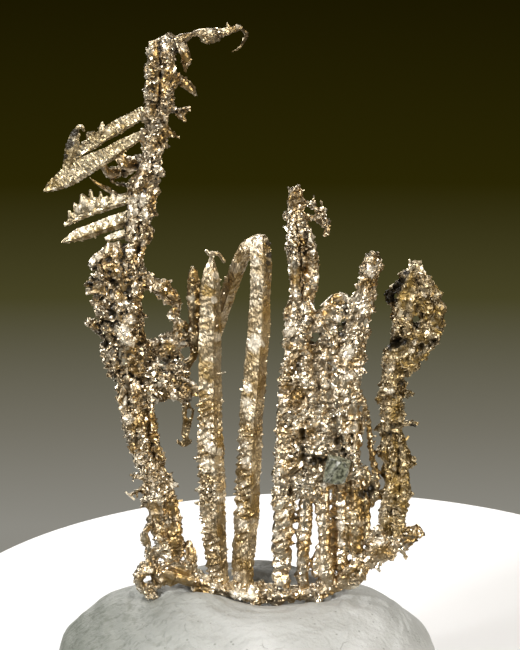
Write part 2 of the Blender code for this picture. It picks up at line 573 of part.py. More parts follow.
def lower_trunk(specimen):
    dice = random.Random(20)
    bm = bmesh.new()
    body = [(-4.3, 9.0, -0.1, 0.6), (-4.4, 10.0, -0.1, 0.8), (-4.55, 11.2, 0.0, 0.85),
            (-4.75, 12.35, 0.0, 0.8), (-4.9, 13.5, 0.1, 0.76), (-5.3, 14.4, 0.1, 0.76),
            (-5.6, 15.55, 0.1, 0.78), (-5.95, 17.0, 0.2, 0.84), (-6.1, 18.2, 0.2, 0.82),
            (-6.3, 19.1, 0.2, 0.78)]
    path = add_stem(bm, body, ledge=0.08, dice=dice)
    add_crystals(bm, path, dice, 4.8, 0.32, 0.65, reach=0.98)
    for twig in ([(-5.4, 13.5, 0.0, 0.22), (-6.1, 13.65, -0.2, 0.2), (-6.55, 13.85, -0.3, 0.14)],
                 [(-5.5, 13.1, 0.0, 0.22), (-6.1, 12.7, -0.2, 0.18), (-6.55, 12.35, -0.3, 0.12)],
                 [(-4.5, 13.5, 0.0, 0.25), (-4.0, 13.3, -0.1, 0.2), (-3.65, 13.1, -0.1, 0.1)]):
        path = add_stem(bm, twig)
        add_crystals(bm, path, dice, 1.5, 0.2, 0.32)
    add_spike(bm, (-4.4, 13.6, 0.0), (-3.6, 14.3, 0.0), 0.3)
    add_spike(bm, (-4.9, 15.3, 0.0), (-4.4, 15.4, 0.0), 0.3)
    add_spike(bm, (-4.1, 10.8, -0.1), (-3.5, 10.7, -0.1), 0.4)
    specimen.branch("lower_trunk", bm, 640, principled("lower_trunk_silver", SILVER, 0.32, 1.0))


def knobby_trunk(specimen):
    dice = random.Random(21)
    bm = bmesh.new()
    body = [(-6.35, 19.5, 0.2, 0.75), (-6.5, 20.25, 0.2, 0.88), (-6.75, 21.4, 0.2, 0.95),
            (-7.0, 22.6, 0.1, 1.05), (-7.05, 23.75, 0.1, 1.1), (-7.0, 24.9, 0.1, 1.2),
            (-6.85, 25.95, 0.2, 1.1), (-6.3, 26.7, 0.3, 0.7)]
    path = add_stem(bm, body, ledge=0.1, dice=dice)
    add_crystals(bm, path, dice, 6.0, 0.4, 0.85, reach=1.0)
    shoulder = [(-8.4, 25.9, -0.1, 0.28), (-7.9, 26.6, 0.0, 0.32), (-7.1, 26.9, 0.1, 0.32),
                (-6.4, 26.95, 0.2, 0.35)]
    add_stem(bm, shoulder)
    for base, tip in (((-8.0, 25.0, -0.1), (-8.85, 25.15, -0.2)),
                      ((-8.0, 24.6, 0.0), (-8.8, 24.5, -0.1)),
                      ((-7.9, 23.8, 0.0), (-8.5, 24.0, -0.1)),
                      ((-7.8, 22.7, 0.0), (-8.75, 22.85, -0.2)),
                      ((-7.4, 21.6, 0.0), (-8.0, 21.2, -0.2)),
                      ((-7.0, 19.9, 0.0), (-7.45, 19.5, -0.1))):
        add_spike(bm, base, tip, 0.55)
    specimen.branch("knobby_trunk", bm, 760, principled("knobby_silver", SILVER, 0.32, 1.0))


def upper_trunk(specimen):
    dice = random.Random(22)
    bm = bmesh.new()
    body = [(-5.85, 27.3, 0.3, 0.6), (-5.85, 28.4, 0.3, 0.6), (-5.55, 29.6, 0.3, 0.66),
            (-5.45, 30.5, 0.3, 0.8), (-5.35, 31.35, 0.3, 0.74), (-5.15, 32.25, 0.35, 0.62),
            (-5.05, 33.1, 0.4, 0.62), (-4.95, 34.0, 0.4, 0.64), (-4.85, 34.85, 0.4, 0.72),
            (-4.65, 35.75, 0.4, 0.8), (-4.6, 36.6, 0.45, 0.78), (-4.55, 37.6, 0.5, 0.76),
            (-4.5, 38.4, 0.5, 0.66)]
    path = add_stem(bm, body, ledge=0.08, dice=dice)
    add_crystals(bm, path, dice, 4.4, 0.3, 0.6, reach=0.98)
    for leaf in ([(-4.0, 38.7, 0.6, 0.22), (-3.45, 38.65, 0.8, 0.36), (-3.2, 38.0, 0.9, 0.42),
                  (-3.3, 37.3, 0.9, 0.2)],
                 [(-4.2, 36.9, 0.6, 0.3), (-3.4, 36.75, 0.8, 0.36), (-2.95, 36.3, 0.9, 0.32),
                  (-2.65, 35.85, 1.0, 0.12)],
                 [(-4.4, 33.8, 0.4, 0.35), (-3.9, 33.6, 0.6, 0.28), (-3.5, 33.4, 0.8, 0.1)],
                 [(-5.3, 32.0, 0.9, 0.35), (-6.1, 31.9, 1.4, 0.4), (-6.55, 31.5, 1.7, 0.32),
                  (-7.1, 31.4, 1.8, 0.3), (-7.5, 31.2, 1.8, 0.14)],
                 [(-5.5, 30.5, 0.8, 0.3), (-6.6, 30.7, 1.2, 0.2), (-7.6, 31.0, 1.5, 0.13)]):
        add_stem(bm, leaf, sides=4)
    for twig in ([(-4.3, 35.3, 0.4, 0.3), (-3.75, 35.0, 0.4, 0.2), (-3.55, 34.5, 0.4, 0.14)],
                 [(-3.75, 34.9, 0.4, 0.18), (-3.4, 34.85, 0.4, 0.16), (-3.1, 35.15, 0.4, 0.17)],
                 [(-4.6, 38.7, 0.5, 0.3), (-4.5, 39.25, 0.6, 0.14), (-4.05, 39.6, 0.7, 0.14)]):
        add_stem(bm, twig)
    for base, tip, width in (((-4.6, 33.0, 0.4), (-3.75, 32.8, 0.5), 0.4),
                             ((-5.2, 30.3, 0.3), (-4.65, 30.35, 0.3), 0.4),
                             ((-5.3, 29.2, 0.3), (-4.7, 29.25, 0.3), 0.55),
                             ((-5.5, 27.6, 0.3), (-4.95, 27.65, 0.3), 0.4),
                             ((-5.0, 38.4, 0.4), (-5.35, 39.0, 0.3), 0.45),
                             ((-4.9, 37.9, 0.4), (-5.5, 38.1, 0.3), 0.4),
                             ((-4.6, 38.5, 0.4), (-4.55, 39.15, 0.3), 0.45)):
        add_spike(bm, base, tip, width)
    specimen.branch("upper_trunk", bm, 870, principled("upper_silver", SILVER, 0.32, 1.0))


def top_hook(specimen):
    dice = random.Random(23)
    bm = bmesh.new()
    wire = [(-4.1, 39.0, 0.6, 0.24), (-3.75, 39.15, 0.7, 0.21), (-3.35, 39.3, 0.8, 0.2),
            (-2.7, 39.5, 1.0, 0.21), (-2.1, 39.5, 1.1, 0.33), (-1.3, 39.55, 1.2, 0.26),
            (-0.7, 39.65, 1.3, 0.2), (-0.25, 39.85, 1.4, 0.18), (0.05, 39.5, 1.5, 0.17),
            (-0.1, 39.05, 1.6, 0.14), (-0.35, 38.7, 1.6, 0.13), (-0.8, 38.4, 1.6, 0.1)]
    add_stem(bm, wire, ledge=0.08, dice=dice, step=0.35)
    add_stem(bm, [(-2.5, 39.1, 1.0, 0.16), (-2.0, 39.05, 1.1, 0.2), (-1.4, 39.15, 1.2, 0.14)])
    add_spike(bm, (-0.8, 39.75, 1.3), (-1.25, 40.4, 1.2), 0.34)
    add_spike(bm, (-0.5, 39.8, 1.4), (-0.55, 40.2, 1.3), 0.3)
    add_spike(bm, (-1.6, 39.6, 1.2), (-1.5, 40.1, 1.2), 0.24)
    specimen.branch("top_hook", bm, 200, principled("hook_silver", BRONZED, 0.34, 1.0),
                    grain=WIRE_GRAIN)


def lance_blades(specimen):
    dice = random.Random(24)
    bm = bmesh.new()
    ribbed = [(-5.6, 34.85, 0.3, 0.3), (-6.4, 34.45, 0.2, 0.4), (-7.05, 34.05, 0.1, 0.44),
              (-7.7, 33.65, 0.0, 0.42), (-8.3, 33.2, -0.1, 0.42), (-8.8, 32.85, -0.2, 0.3),
              (-9.35, 32.35, -0.35, 0.22)]
    path = add_stem(bm, ribbed, sides=4, ledge=0.1, dice=dice, step=0.35, twist=BLADE_TWIST)
    add_crystals(bm, path[8:], dice, 1.0, 0.2, 0.35)
    lance = [(-5.5, 33.7, 0.3, 0.28), (-6.4, 33.2, 0.2, 0.34), (-7.05, 32.8, 0.1, 0.44),
             (-7.75, 32.35, 0.0, 0.5), (-8.5, 31.95, -0.2, 0.58), (-9.25, 31.5, -0.4, 0.63),
             (-9.95, 31.05, -0.5, 0.57), (-10.6, 30.65, -0.6, 0.38), (-11.05, 30.35, -0.7, 0.12)]
    path = add_stem(bm, lance, sides=4, ledge=0.06, dice=dice, step=0.5, twist=BLADE_TWIST)
    add_crystals(bm, path[8:], dice, 0.8, 0.2, 0.35)
    spike = [(-9.7, 31.6, -0.4, 0.34), (-9.5, 32.7, -0.4, 0.4), (-9.35, 33.4, -0.4, 0.35),
             (-9.2, 33.95, -0.4, 0.23), (-8.9, 34.15, -0.4, 0.12)]
    path = add_stem(bm, spike, ledge=0.08, dice=dice)
    add_crystals(bm, path, dice, 1.6, 0.2, 0.35)
    add_spike(bm, (-7.95, 33.6, 0.0), (-7.88, 34.35, 0.0), 0.4)
    add_spike(bm, (-8.5, 33.2, -0.1), (-8.65, 33.75, -0.1), 0.35)
    specimen.branch("lance_blades", bm, 470, principled("lance_silver", SILVER, 0.3, 1.0))


def lower_blades(specimen):
    dice = random.Random(25)
    comb = [(-5.9, 29.95, 0.3, 0.3), (-7.05, 29.75, 0.2, 0.3), (-7.9, 29.45, 0.1, 0.3),
            (-8.7, 29.15, 0.0, 0.34), (-9.35, 28.8, -0.1, 0.27), (-9.95, 28.4, -0.2, 0.12)]
    bm = bmesh.new()
    add_stem(bm, comb, sides=4, ledge=0.08, dice=dice, step=0.5, twist=BLADE_TWIST)
    for base, tip, width in (((-9.2, 29.0, 0.0), (-9.35, 29.75, 0.0), 0.42),
                             ((-8.85, 29.1, 0.0), (-8.95, 30.1, 0.0), 0.62),
                             ((-8.5, 29.2, 0.0), (-8.35, 29.95, 0.0), 0.5),
                             ((-8.3, 29.3, 0.0), (-8.6, 30.5, 0.1), 0.34),
                             ((-8.0, 29.4, 0.1), (-7.95, 30.4, 0.1), 0.42),
                             ((-7.7, 29.5, 0.1), (-7.5, 30.1, 0.1), 0.34),
                             ((-7.4, 29.6, 0.2), (-7.2, 30.35, 0.3), 0.34)):
        add_spike(bm, base, tip, width)
    specimen.branch("comb_blade", bm, 240, principled("comb_silver", SILVER, 0.3, 1.0))
    long_blade = [(-5.8, 29.1, 0.3, 0.42), (-6.7, 28.75, 0.2, 0.46), (-7.5, 28.45, 0.1, 0.44),
                  (-8.3, 28.15, 0.0, 0.43), (-9.15, 27.85, -0.1, 0.39), (-9.75, 27.55, -0.2, 0.22),
                  (-10.1, 27.4, -0.2, 0.1)]
    bm = bmesh.new()
    add_stem(bm, long_blade, sides=4, ledge=0.06, dice=dice, step=0.5, twist=BLADE_TWIST)
    specimen.branch("long_blade", bm, 100, principled("long_blade_silver", SILVER, 0.3, 1.0))
    short_blade = [(-6.0, 28.0, 0.2, 0.34), (-6.95, 27.8, 0.1, 0.28), (-7.65, 27.6, 0.0, 0.21)]
    bm = bmesh.new()
    add_stem(bm, short_blade, sides=4, ledge=0.06, dice=dice, step=0.4, twist=BLADE_TWIST)
    specimen.branch("short_blade", bm, 56, principled("short_blade_silver", SILVER, 0.3, 1.0))


def wire_nest(specimen):
    dice = random.Random(26)
    bm = bmesh.new()
    arm = [(-5.7, 25.35, 0.2, 0.42), (-5.15, 25.05, 0.0, 0.44), (-4.6, 24.65, -0.2, 0.44),
           (-4.05, 24.25, -0.3, 0.36), (-3.8, 23.75, -0.3, 0.22), (-3.9, 23.25, -0.3, 0.26),
           (-3.75, 22.6, -0.2, 0.22), (-3.85, 22.0, -0.1, 0.3)]
    path = add_stem(bm, arm)
    add_crystals(bm, path, dice, 2.2, 0.22, 0.42)
    for strand in ([(-5.8, 21.0, 0.3, 0.45), (-5.2, 21.1, 0.3, 0.5), (-4.5, 21.35, 0.2, 0.56),
                    (-3.85, 21.5, 0.1, 0.55), (-3.4, 21.7, 0.0, 0.36)],
                   [(-5.6, 20.2, 0.3, 0.45), (-5.2, 19.8, 0.3, 0.55), (-4.5, 19.2, 0.2, 0.68),
                    (-3.7, 18.75, 0.2, 0.62), (-3.1, 18.75, 0.2, 0.45), (-2.7, 18.95, 0.4, 0.3)],
                   [(-4.6, 20.9, 0.2, 0.4), (-3.9, 20.2, 0.1, 0.42), (-3.4, 19.5, 0.1, 0.42)],
                   [(-5.1, 19.3, 0.1, 0.34), (-4.95, 18.6, 0.1, 0.3), (-5.0, 18.0, 0.1, 0.22)]):
        path = add_stem(bm, strand)
        add_crystals(bm, path, dice, 3.2, 0.3, 0.6, reach=1.0)
    add_spike(bm, (-5.1, 25.2, 0.0), (-5.1, 25.75, 0.0), 0.3)
    add_spike(bm, (-4.4, 24.7, -0.2), (-4.4, 25.3, -0.2), 0.34)
    add_spike(bm, (-3.5, 21.8, 0.0), (-3.25, 22.5, 0.0), 0.36)
    add_spike(bm, (-5.3, 21.3, 0.3), (-5.55, 21.95, 0.2), 0.35)
    specimen.branch("wire_nest", bm, 740, principled("nest_silver", SILVER, 0.32, 1.0))


def side_spike(specimen):
    dice = random.Random(27)
    bm = bmesh.new()
    wire = [(-2.9, 25.95, -0.3, 0.1), (-2.9, 25.6, -0.3, 0.22), (-2.9, 25.1, -0.3, 0.26),
            (-2.9, 24.45, -0.3, 0.26), (-2.9, 23.75, -0.3, 0.25), (-2.88, 22.9, -0.2, 0.23),
            (-2.88, 22.0, -0.1, 0.22), (-2.85, 21.25, 0.0, 0.19), (-2.9, 20.7, 0.0, 0.17),
            (-3.15, 20.4, 0.0, 0.16), (-3.4, 20.45, 0.0, 0.15)]
    path = add_stem(bm, wire, sides=4, ledge=0.08, dice=dice, step=0.4)
    add_crystals(bm, path[5:13], dice, 1.4, 0.2, 0.32)
    add_spike(bm, (-2.9, 24.3, -0.3), (-3.3, 24.15, -0.4), 0.4)
    specimen.branch("side_spike", bm, 130, principled("spike_silver", BRONZED, 0.32, 1.0),
                    grain=WIRE_GRAIN)


def nest_pendant(specimen):
    bm = bmesh.new()
    add_stem(bm, [(-3.4, 18.1, 0.1, 0.22), (-3.4, 17.1, 0.1, 0.16), (-3.42, 15.6, 0.1, 0.15)])
    add_stem(bm, [(-3.3, 18.1, 0.1, 0.15), (-2.95, 17.6, 0.1, 0.12), (-3.1, 16.6, 0.1, 0.12),
                  (-3.4, 15.6, 0.1, 0.13)])
    add_stem(bm, [(-3.9, 15.75, 0.1, 0.12), (-3.4, 15.5, 0.1, 0.19), (-3.05, 15.75, 0.1, 0.14),
                  (-2.95, 15.9, 0.1, 0.1)])
    specimen.branch("nest_pendant", bm, 140, principled("pendant_silver", BRONZED, 0.34, 1.0),
                    grain=WIRE_GRAIN)


def pale_grain(specimen):
    bm = bmesh.new()
    add_lump(bm, (4.95, 14.1, -1.05), (0.68, 0.78, 0.42), 0.4)
    add_lump(bm, (5.2, 13.8, -0.9), (0.6, 0.6, 0.4), 1.0)
    specimen.branch("pale_grain", bm, 44, principled("grain_mineral", GRAIN_GREEN, 0.5, 0.0))


# Where fingers pressed or raised the putty, in millimetres: (x, y, half width, half depth, rise)
PUTTY_PRESSES = (
    (1.2, -1.0, 2.9, 2.6, -1.0),        # the saddle in front of the silver
    (-7.0, -3.5, 2.2, 2.0, -0.5),       # left thumb
    (-2.8, -1.4, 1.3, 1.2, 0.3),        # lip beside the ridge
    (1.0, 4.0, 4.0, 1.8, 0.25),         # rim behind the silver
    (-5.5, 5.2, 2.3, 1.8, -1.1),        # fingers on the far side
    (-0.2, 6.3, 2.2, 1.6, -1.0),
    (5.6, 5.0, 2.3, 1.8, -1.0),
)


def putty_height_change(place):
    """How far the surface of the lump sits above or below an even dome, in millimetres."""
    change = 0.0
    for x, y, half_width, half_depth, rise in PUTTY_PRESSES:
        across = (place.x / MM - x) / half_width
        back = (place.y / MM - y) / half_depth
        change += rise * math.exp(-across * across - back * back)
    return change


def mounting_putty(specimen):
    bm = bmesh.new()
    dome = Matrix.Diagonal((PUTTY_HALF_WIDTH * MM, PUTTY_HALF_DEPTH * MM,
                            PUTTY_HALF_HEIGHT * MM, 1.0))
    middle = Matrix.Translation((0.0, 0.0, PUTTY_MIDDLE_HEIGHT * MM))
    bmesh.ops.create_icosphere(bm, subdivisions=5, radius=1.0, matrix=middle @ dome)
    for vertex in bm.verts:
        upper = max(0.0, vertex.co.z / MM - PUTTY_MIDDLE_HEIGHT) / PUTTY_HALF_HEIGHT
        vertex.co.z += putty_height_change(vertex.co) * MM * min(1.0, 1.4 * upper)
    obj = as_object("mounting_putty", bm, specimen.parts)
    groove = bmesh.new()
    add_stem(groove, [(-2.6, GROOVE_HEIGHT + 0.45, 0.75, 0.7), (-0.6, GROOVE_HEIGHT, 0.75, 1.0),
                      (1.2, GROOVE_HEIGHT, 0.75, GROOVE_RADIUS),
                      (3.4, GROOVE_HEIGHT, 0.75, GROOVE_RADIUS),
                      (5.4, GROOVE_HEIGHT + 0.45, 0.75, 0.8)], sides=12)
    cut(obj, as_cutter("putty_groove", groove, specimen.cutters))
    specimen.place(obj, 620, principled("putty", PUTTY_GREY, 0.75, 0.0))
    flatten_base(obj)


def flatten_base(obj):
    """Cut the lump off flat at the height of the surface it stands on."""
    bm = bmesh.new()
    bm.from_mesh(obj.data)
    everything = bm.verts[:] + bm.edges[:] + bm.faces[:]
    cut_line = bmesh.ops.bisect_plane(bm, geom=everything, dist=WELD, plane_co=(0.0, 0.0, 0.0),
                                      plane_no=(0.0, 0.0, 1.0), clear_inner=True)["geom_cut"]
    rim = [item for item in cut_line if isinstance(item, bmesh.types.BMEdge)]
    bmesh.ops.edgeloop_fill(bm, edges=rim)
    bmesh.ops.triangulate(bm, faces=bm.faces)
    bmesh.ops.recalc_face_normals(bm, faces=bm.faces)
    bm.to_mesh(obj.data)
    bm.free()


def build():
    clear_scene()
    specimen = Specimen("native_silver_specimen")
    dagger_wire(specimen)
    hairpin_wire(specimen)
    root_ridge(specimen)
    crust_web(specimen)
    tall_column(specimen)
    thumb_column(specimen)
    head_column(specimen)
    foot_rods(specimen)
    outer_rod(specimen)
    lower_trunk(specimen)
    knobby_trunk(specimen)
    upper_trunk(specimen)
    top_hook(specimen)
    lance_blades(specimen)
    lower_blades(specimen)
    wire_nest(specimen)
    side_spike(specimen)
    nest_pendant(specimen)
    pale_grain(specimen)
    mounting_putty(specimen)


build()
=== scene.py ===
import math
import random

import bmesh
import bpy
import numpy as np
from mathutils import Matrix, Vector, noise
from mathutils.bvhtree import BVHTree


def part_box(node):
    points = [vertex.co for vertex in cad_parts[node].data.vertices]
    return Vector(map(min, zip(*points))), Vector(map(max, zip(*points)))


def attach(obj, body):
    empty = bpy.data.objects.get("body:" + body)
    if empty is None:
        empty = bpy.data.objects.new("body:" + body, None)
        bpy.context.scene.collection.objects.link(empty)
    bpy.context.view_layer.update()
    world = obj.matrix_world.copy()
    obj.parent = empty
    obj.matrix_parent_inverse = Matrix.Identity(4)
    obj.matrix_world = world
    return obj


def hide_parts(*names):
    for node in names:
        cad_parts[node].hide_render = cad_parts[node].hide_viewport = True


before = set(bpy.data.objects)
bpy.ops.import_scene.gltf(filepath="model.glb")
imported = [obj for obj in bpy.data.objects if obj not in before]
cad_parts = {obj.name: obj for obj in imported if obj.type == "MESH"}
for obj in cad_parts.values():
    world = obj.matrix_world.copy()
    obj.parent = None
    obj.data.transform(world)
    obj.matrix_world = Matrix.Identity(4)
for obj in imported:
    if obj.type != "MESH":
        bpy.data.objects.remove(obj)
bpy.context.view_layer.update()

# Native silver specimen in mounting putty: the fine surface of every piece, grown on the solids of the frame.
# Pieces are shaped in millimetres and scaled to metres when they are done. Places are given as the side
# distance x and the height z as read from 20 degrees above, at mid depth.

mm = 0.001
viewTilt = math.radians(20.0)
sightDrop = math.tan(viewTilt)
noise.seed_set(5)       # else noise_vector starts from the clock


# Small helpers

def addNode(tree, kind, values=None, **settings):
    node = tree.nodes.new(kind)
    for name, value in settings.items():
        setattr(node, name, value)
    for name, value in (values or {}).items():
        if isinstance(value, bpy.types.NodeSocket):
            tree.links.new(value, node.inputs[name])
        else:
            node.inputs[name].default_value = value
    return node


def mathNode(tree, operation, first, second=0.0, third=0.0):
    return addNode(tree, "ShaderNodeMath", {0: first, 1: second, 2: third}, operation=operation).outputs[0]


def vectorNode(tree, operation, first, second=(0.0, 0.0, 0.0)):
    values = {0: first, "Scale" if operation == "SCALE" else 1: second}
    made = addNode(tree, "ShaderNodeVectorMath", values, operation=operation)
    return made.outputs["Value" if operation == "LENGTH" else 0]


def rangeNode(tree, value, start, end, low=0.0, high=1.0):
    return addNode(tree, "ShaderNodeMapRange", {"Value": value, "From Min": start, "From Max": end,
                                                "To Min": low, "To Max": high}).outputs[0]


def mixNode(tree, share, first, second):
    if isinstance(second, tuple):
        second = (*second, 1.0)
    return addNode(tree, "ShaderNodeMix", {"Factor": share, "A": first, "B": second},
                   data_type="RGBA").outputs["Result"]


def noiseNode(tree, place, scale, detail):
    return addNode(tree, "ShaderNodeTexNoise", {"Vector": place, "Scale": scale, "Detail": detail}).outputs


def cellNode(tree, place, scale, feature="F1"):
    return addNode(tree, "ShaderNodeTexVoronoi", {"Vector": place, "Scale": scale}, feature=feature).outputs


def rampNode(tree, value, stops):
    # stops are position and colour, from the lowest
    ramp = addNode(tree, "ShaderNodeValToRGB", {"Fac": value})
    elements = ramp.color_ramp.elements
    for position, colour in stops[1:-1]:
        elements.new(position)
    for element, (position, colour) in zip(elements, stops):
        element.position = position
        element.color = (*colour, 1.0)
    return ramp.outputs["Color"]


def addSockets(group, way, kind, *names):
    for name in names:
        group.interface.new_socket(name, in_out=way, socket_type="NodeSocket" + kind)


def newMaterial(name):
    material = bpy.data.materials.new(name)
    material.use_nodes = True
    return material, material.node_tree, material.node_tree.nodes["Principled BSDF"]


def linkedObject(name, data):
    # data is a bmesh, a light or a camera
    if isinstance(data, bmesh.types.BMesh):
        bm, data = data, bpy.data.meshes.new(name)
        bm.to_mesh(data)
        bm.free()
    obj = bpy.data.objects.new(name, data)
    bpy.context.scene.collection.objects.link(obj)
    return obj


def applyModifiers(obj):
    graph = bpy.context.evaluated_depsgraph_get()
    mesh = bpy.data.meshes.new_from_object(obj.evaluated_get(graph))
    old = obj.data
    obj.modifiers.clear()
    obj.data = mesh
    mesh.name = obj.name
    bpy.data.meshes.remove(old)


def clamp(value):
    return min(1.0, max(0.0, value))


def smoothStep(low, high, value):
    share = clamp((value - low) / (high - low))
    return share * share * (3.0 - 2.0 * share)


def cloud(place, size, shift=(0.0, 0.0, 0.0)):
    return noise.noise(place / size + Vector(shift))


def realPlace(x, z, y=0.0):
    return Vector((x, y, z - sightDrop * y))


def smoothRows(rows, step):
    # rows of equal length on a smooth path through the given ones
    knots = [np.array(row, dtype=float) for row in rows]
    knots = [2 * knots[0] - knots[1]] + knots + [2 * knots[-1] - knots[-2]]
    path = []
    for before, start, end, after in zip(knots, knots[1:], knots[2:], knots[3:]):
        pieces = max(1, round(float(np.linalg.norm((end - start)[:2])) / step))
        for index in range(pieces):
            t = index / pieces
            path.append(0.5 * (2 * start + (end - before) * t
                               + (2 * before - 5 * start + 4 * end - after) * t * t
                               + (3 * start - before - 3 * end + after) * t ** 3))
    path.append(knots[-2])
    return path


def copyNormals(mesh):
    return [vertex.normal.copy() for vertex in mesh.vertices]


def solidCopy(node):
    # a merged copy of a solid of the frame, in millimetres
    bm = bmesh.new()
    bm.from_mesh(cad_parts[node].data)
    bmesh.ops.remove_doubles(bm, verts=bm.verts, dist=0.002 * mm)
    bmesh.ops.scale(bm, vec=(1.0 / mm,) * 3, verts=bm.verts)
    return bm


def fuse(obj, voxel, calm=0):
    remesh = obj.modifiers.new("fuse", "REMESH")
    remesh.mode = "VOXEL"
    remesh.voxel_size = voxel
    if calm:
        soften = obj.modifiers.new("calm", "SMOOTH")
        soften.factor = 0.5
        soften.iterations = calm
    applyModifiers(obj)


# Tables are in hundredths: of a millimetre for places, widths and depths, of the whole for strengths.
# Stems and twigs are paths of x, z, radius and x, z, y, radius, bars are x, z, y, half width, grooves are
# x, z, half width, depth, and spots are x, z, radius, strength. Bare numbers at the start of a path are the
# last values of all its rows.

spotTables = ("soot", "browned", "bright", "smooth")
pathTables = ("stems", "grooves", "twigs", "bars")


def readRows(rows):
    shared = [item for item in rows if not isinstance(item, tuple)]
    return [tuple(value / 100 for value in (*row, *shared)) for row in rows if isinstance(row, tuple)]


def lookOf(base, **values):
    for key in spotTables:
        if key in values:
            values[key] = readRows(values[key])
    for key in pathTables:
        if key in values:
            values[key] = [readRows(rows) for rows in values[key]]
    return dict(base, **values)


# Stems of metal lie half sunk in the face of a solid and give it its relief

stemStep = 0.3
knobby = 0.12


def addRod(bm, places):
    for (start, thick), (end, thin) in zip(places, places[1:]):
        along = end - start
        turn = along.to_track_quat("Z", "Y").to_matrix().to_4x4()
        bmesh.ops.create_cone(bm, cap_ends=True, segments=8, radius1=thick, radius2=thin, depth=along.length,
                              matrix=Matrix.Translation(0.5 * (start + end)) @ turn)
    for place, radius in places:
        bmesh.ops.create_icosphere(bm, subdivisions=1, radius=radius, matrix=Matrix.Translation(place))


def addStem(bm, tree, rows, sunk, dice, side=1.0):
    # laid where the line of sight meets the solid, from the front or, with side -1, from behind
    sight = Vector((0.0, math.cos(viewTilt), -math.sin(viewTilt))) * side
    places = []
    for x, z, radius in smoothRows(rows, stemStep):
        here = tree.ray_cast(realPlace(x, z, -30.0 * side), sight)[0]
        if here is None:
            depth = places[-1][0].y if places else 0.0
            here = realPlace(x, z, tree.find_nearest(realPlace(x, z, depth))[0].y)
        else:
            here += sight * sunk * radius
        places.append((here, radius * (1.0 + dice.uniform(-knobby, knobby))))
    addRod(bm, places)


def ribRows(first, last, count, halfWidth, rise, radius):
    # slanting ribs across a wire, from one (x, z) place to another
    ribs = []
    for number in range(count):
        share = number / (count - 1)
        x = first[0] + (last[0] - first[0]) * share
        z = first[1] + (last[1] - first[1]) * share
        ribs.append([(x - halfWidth, z - rise, 0.8 * radius), (x, z, 1.15 * radius),
                     (x + halfWidth, z + rise, 0.8 * radius)])
    return ribs


threadLook = {"steepest": 0.1, "shortest": 0.5, "leastStep": 0.02}


def addThreads(bm, tree, count, length, radius, dice):
    # a mat of short crossing threads over a whole solid
    corners = [[end(vertex.co[axis] for vertex in bm.verts) for axis in range(3)] for end in (min, max)]
    for number in range(count):
        guess = Vector([dice.uniform(low, high) for low, high in zip(*corners)])
        here, normal = tree.find_nearest(guess)[:2]
        lean = Vector([dice.uniform(-1.0, 1.0) for axis in range(3)]).cross(normal)
        if lean.length < threadLook["steepest"]:
            continue
        reach = lean.normalized() * dice.uniform(threadLook["shortest"], 1.0) * length
        places = []
        for share in (-0.5, 0.0, 0.5):
            spot, out = tree.find_nearest(here + reach * share)[:2]
            places.append((spot + out * radius * (0.5 - 1.5 * abs(share)), radius))
        if all((one[0] - two[0]).length > threadLook["leastStep"] for one, two in zip(places, places[1:])):
            addRod(bm, places)


# Neighbouring solids stand a quarter of a millimetre apart where the silver forks.
# The fine pieces reach over that gap, so that the specimen reads as one growth.

fork = {"fade": 0.12, "overlap": 0.14, "upright": 0.75, "endFace": 0.6, "facing": 0.3}
silverNodes = [name for name in sorted(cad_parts) if name not in ("mounting_putty", "pale_grain")]


def neighbourTree(node):
    corners, faces = [], []
    for name in silverNodes:
        if name == node:
            continue
        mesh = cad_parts[name].data
        start = len(corners)
        corners += [vertex.co / mm for vertex in mesh.vertices]
        faces += [[start + index for index in face.vertices] for face in mesh.polygons]
    return BVHTree.FromPolygons(corners, faces)


def closeForks(obj, node, sideGap, endGap):
    tree = neighbourTree(node)
    for vertex, outward in zip(obj.data.vertices, copyNormals(obj.data)):
        near, normal, index, distance = tree.find_nearest(vertex.co, max(sideGap, endGap) + fork["fade"])
        if near is None or distance < 1e-4:
            continue
        toward = (near - vertex.co) / distance
        atEnd = abs(toward.z) > fork["upright"] and abs(outward.z) > fork["endFace"]
        gap = endGap if atEnd else sideGap
        if toward.dot(outward) > fork["facing"]:
            share = 1.0 - smoothStep(gap, gap + fork["fade"], distance)
            vertex.co += toward * share * (0.5 * distance + fork["overlap"])


# The crystal skin over the fused shape

grooveLook = {"sway": (0.4, 0.12), "steep": 1.3, "broken": (0.75, 0.9, 0.25), "front": 0.3}
skin = {
    "calm": (1.3, (2.0, 6.0, 4.0)), "rough": (0.45, 0.55), "smoothed": 0.95,   # rough and calm patches
    "creaseShift": (5.0, 3.0, 1.0), "creaseTop": 0.4, "tilt": 2.0, "step": 0.6,
    "wander": 0.7, "wanderSize": 0.75, "undercut": 0.25, "shelves": (0.3, 0.7),
}


def grooveDepths(places, normals, grooves):
    # grooves part the strands of a crust on its front
    depths = np.zeros(len(places))
    if not grooves:
        return depths
    size, reach = grooveLook["sway"]
    drift = np.array([noise.noise_vector(Vector(place) / size)[:] for place in places])
    x = places[:, 0] + reach * drift[:, 0]
    z = places[:, 2] + sightDrop * places[:, 1] + reach * drift[:, 2]
    for rows in grooves:
        for start, end in zip(rows, rows[1:]):
            alongX, alongZ = end[0] - start[0], end[1] - start[1]
            share = ((x - start[0]) * alongX + (z - start[1]) * alongZ) / (alongX ** 2 + alongZ ** 2)
            share = np.clip(share, 0.0, 1.0)
            away = np.hypot(x - start[0] - share * alongX, z - start[1] - share * alongZ)
            width = start[2] + share * (end[2] - start[2])
            depth = start[3] + share * (end[3] - start[3])
            side = np.clip(grooveLook["steep"] * (1.0 - away / width), 0.0, 1.0)
            depths = np.maximum(depths, depth * side)
    mean, vary, least = grooveLook["broken"]
    return depths * (np.clip(mean + vary * drift[:, 1], least, 1.0) * (normals[:, 1] < grooveLook["front"]))


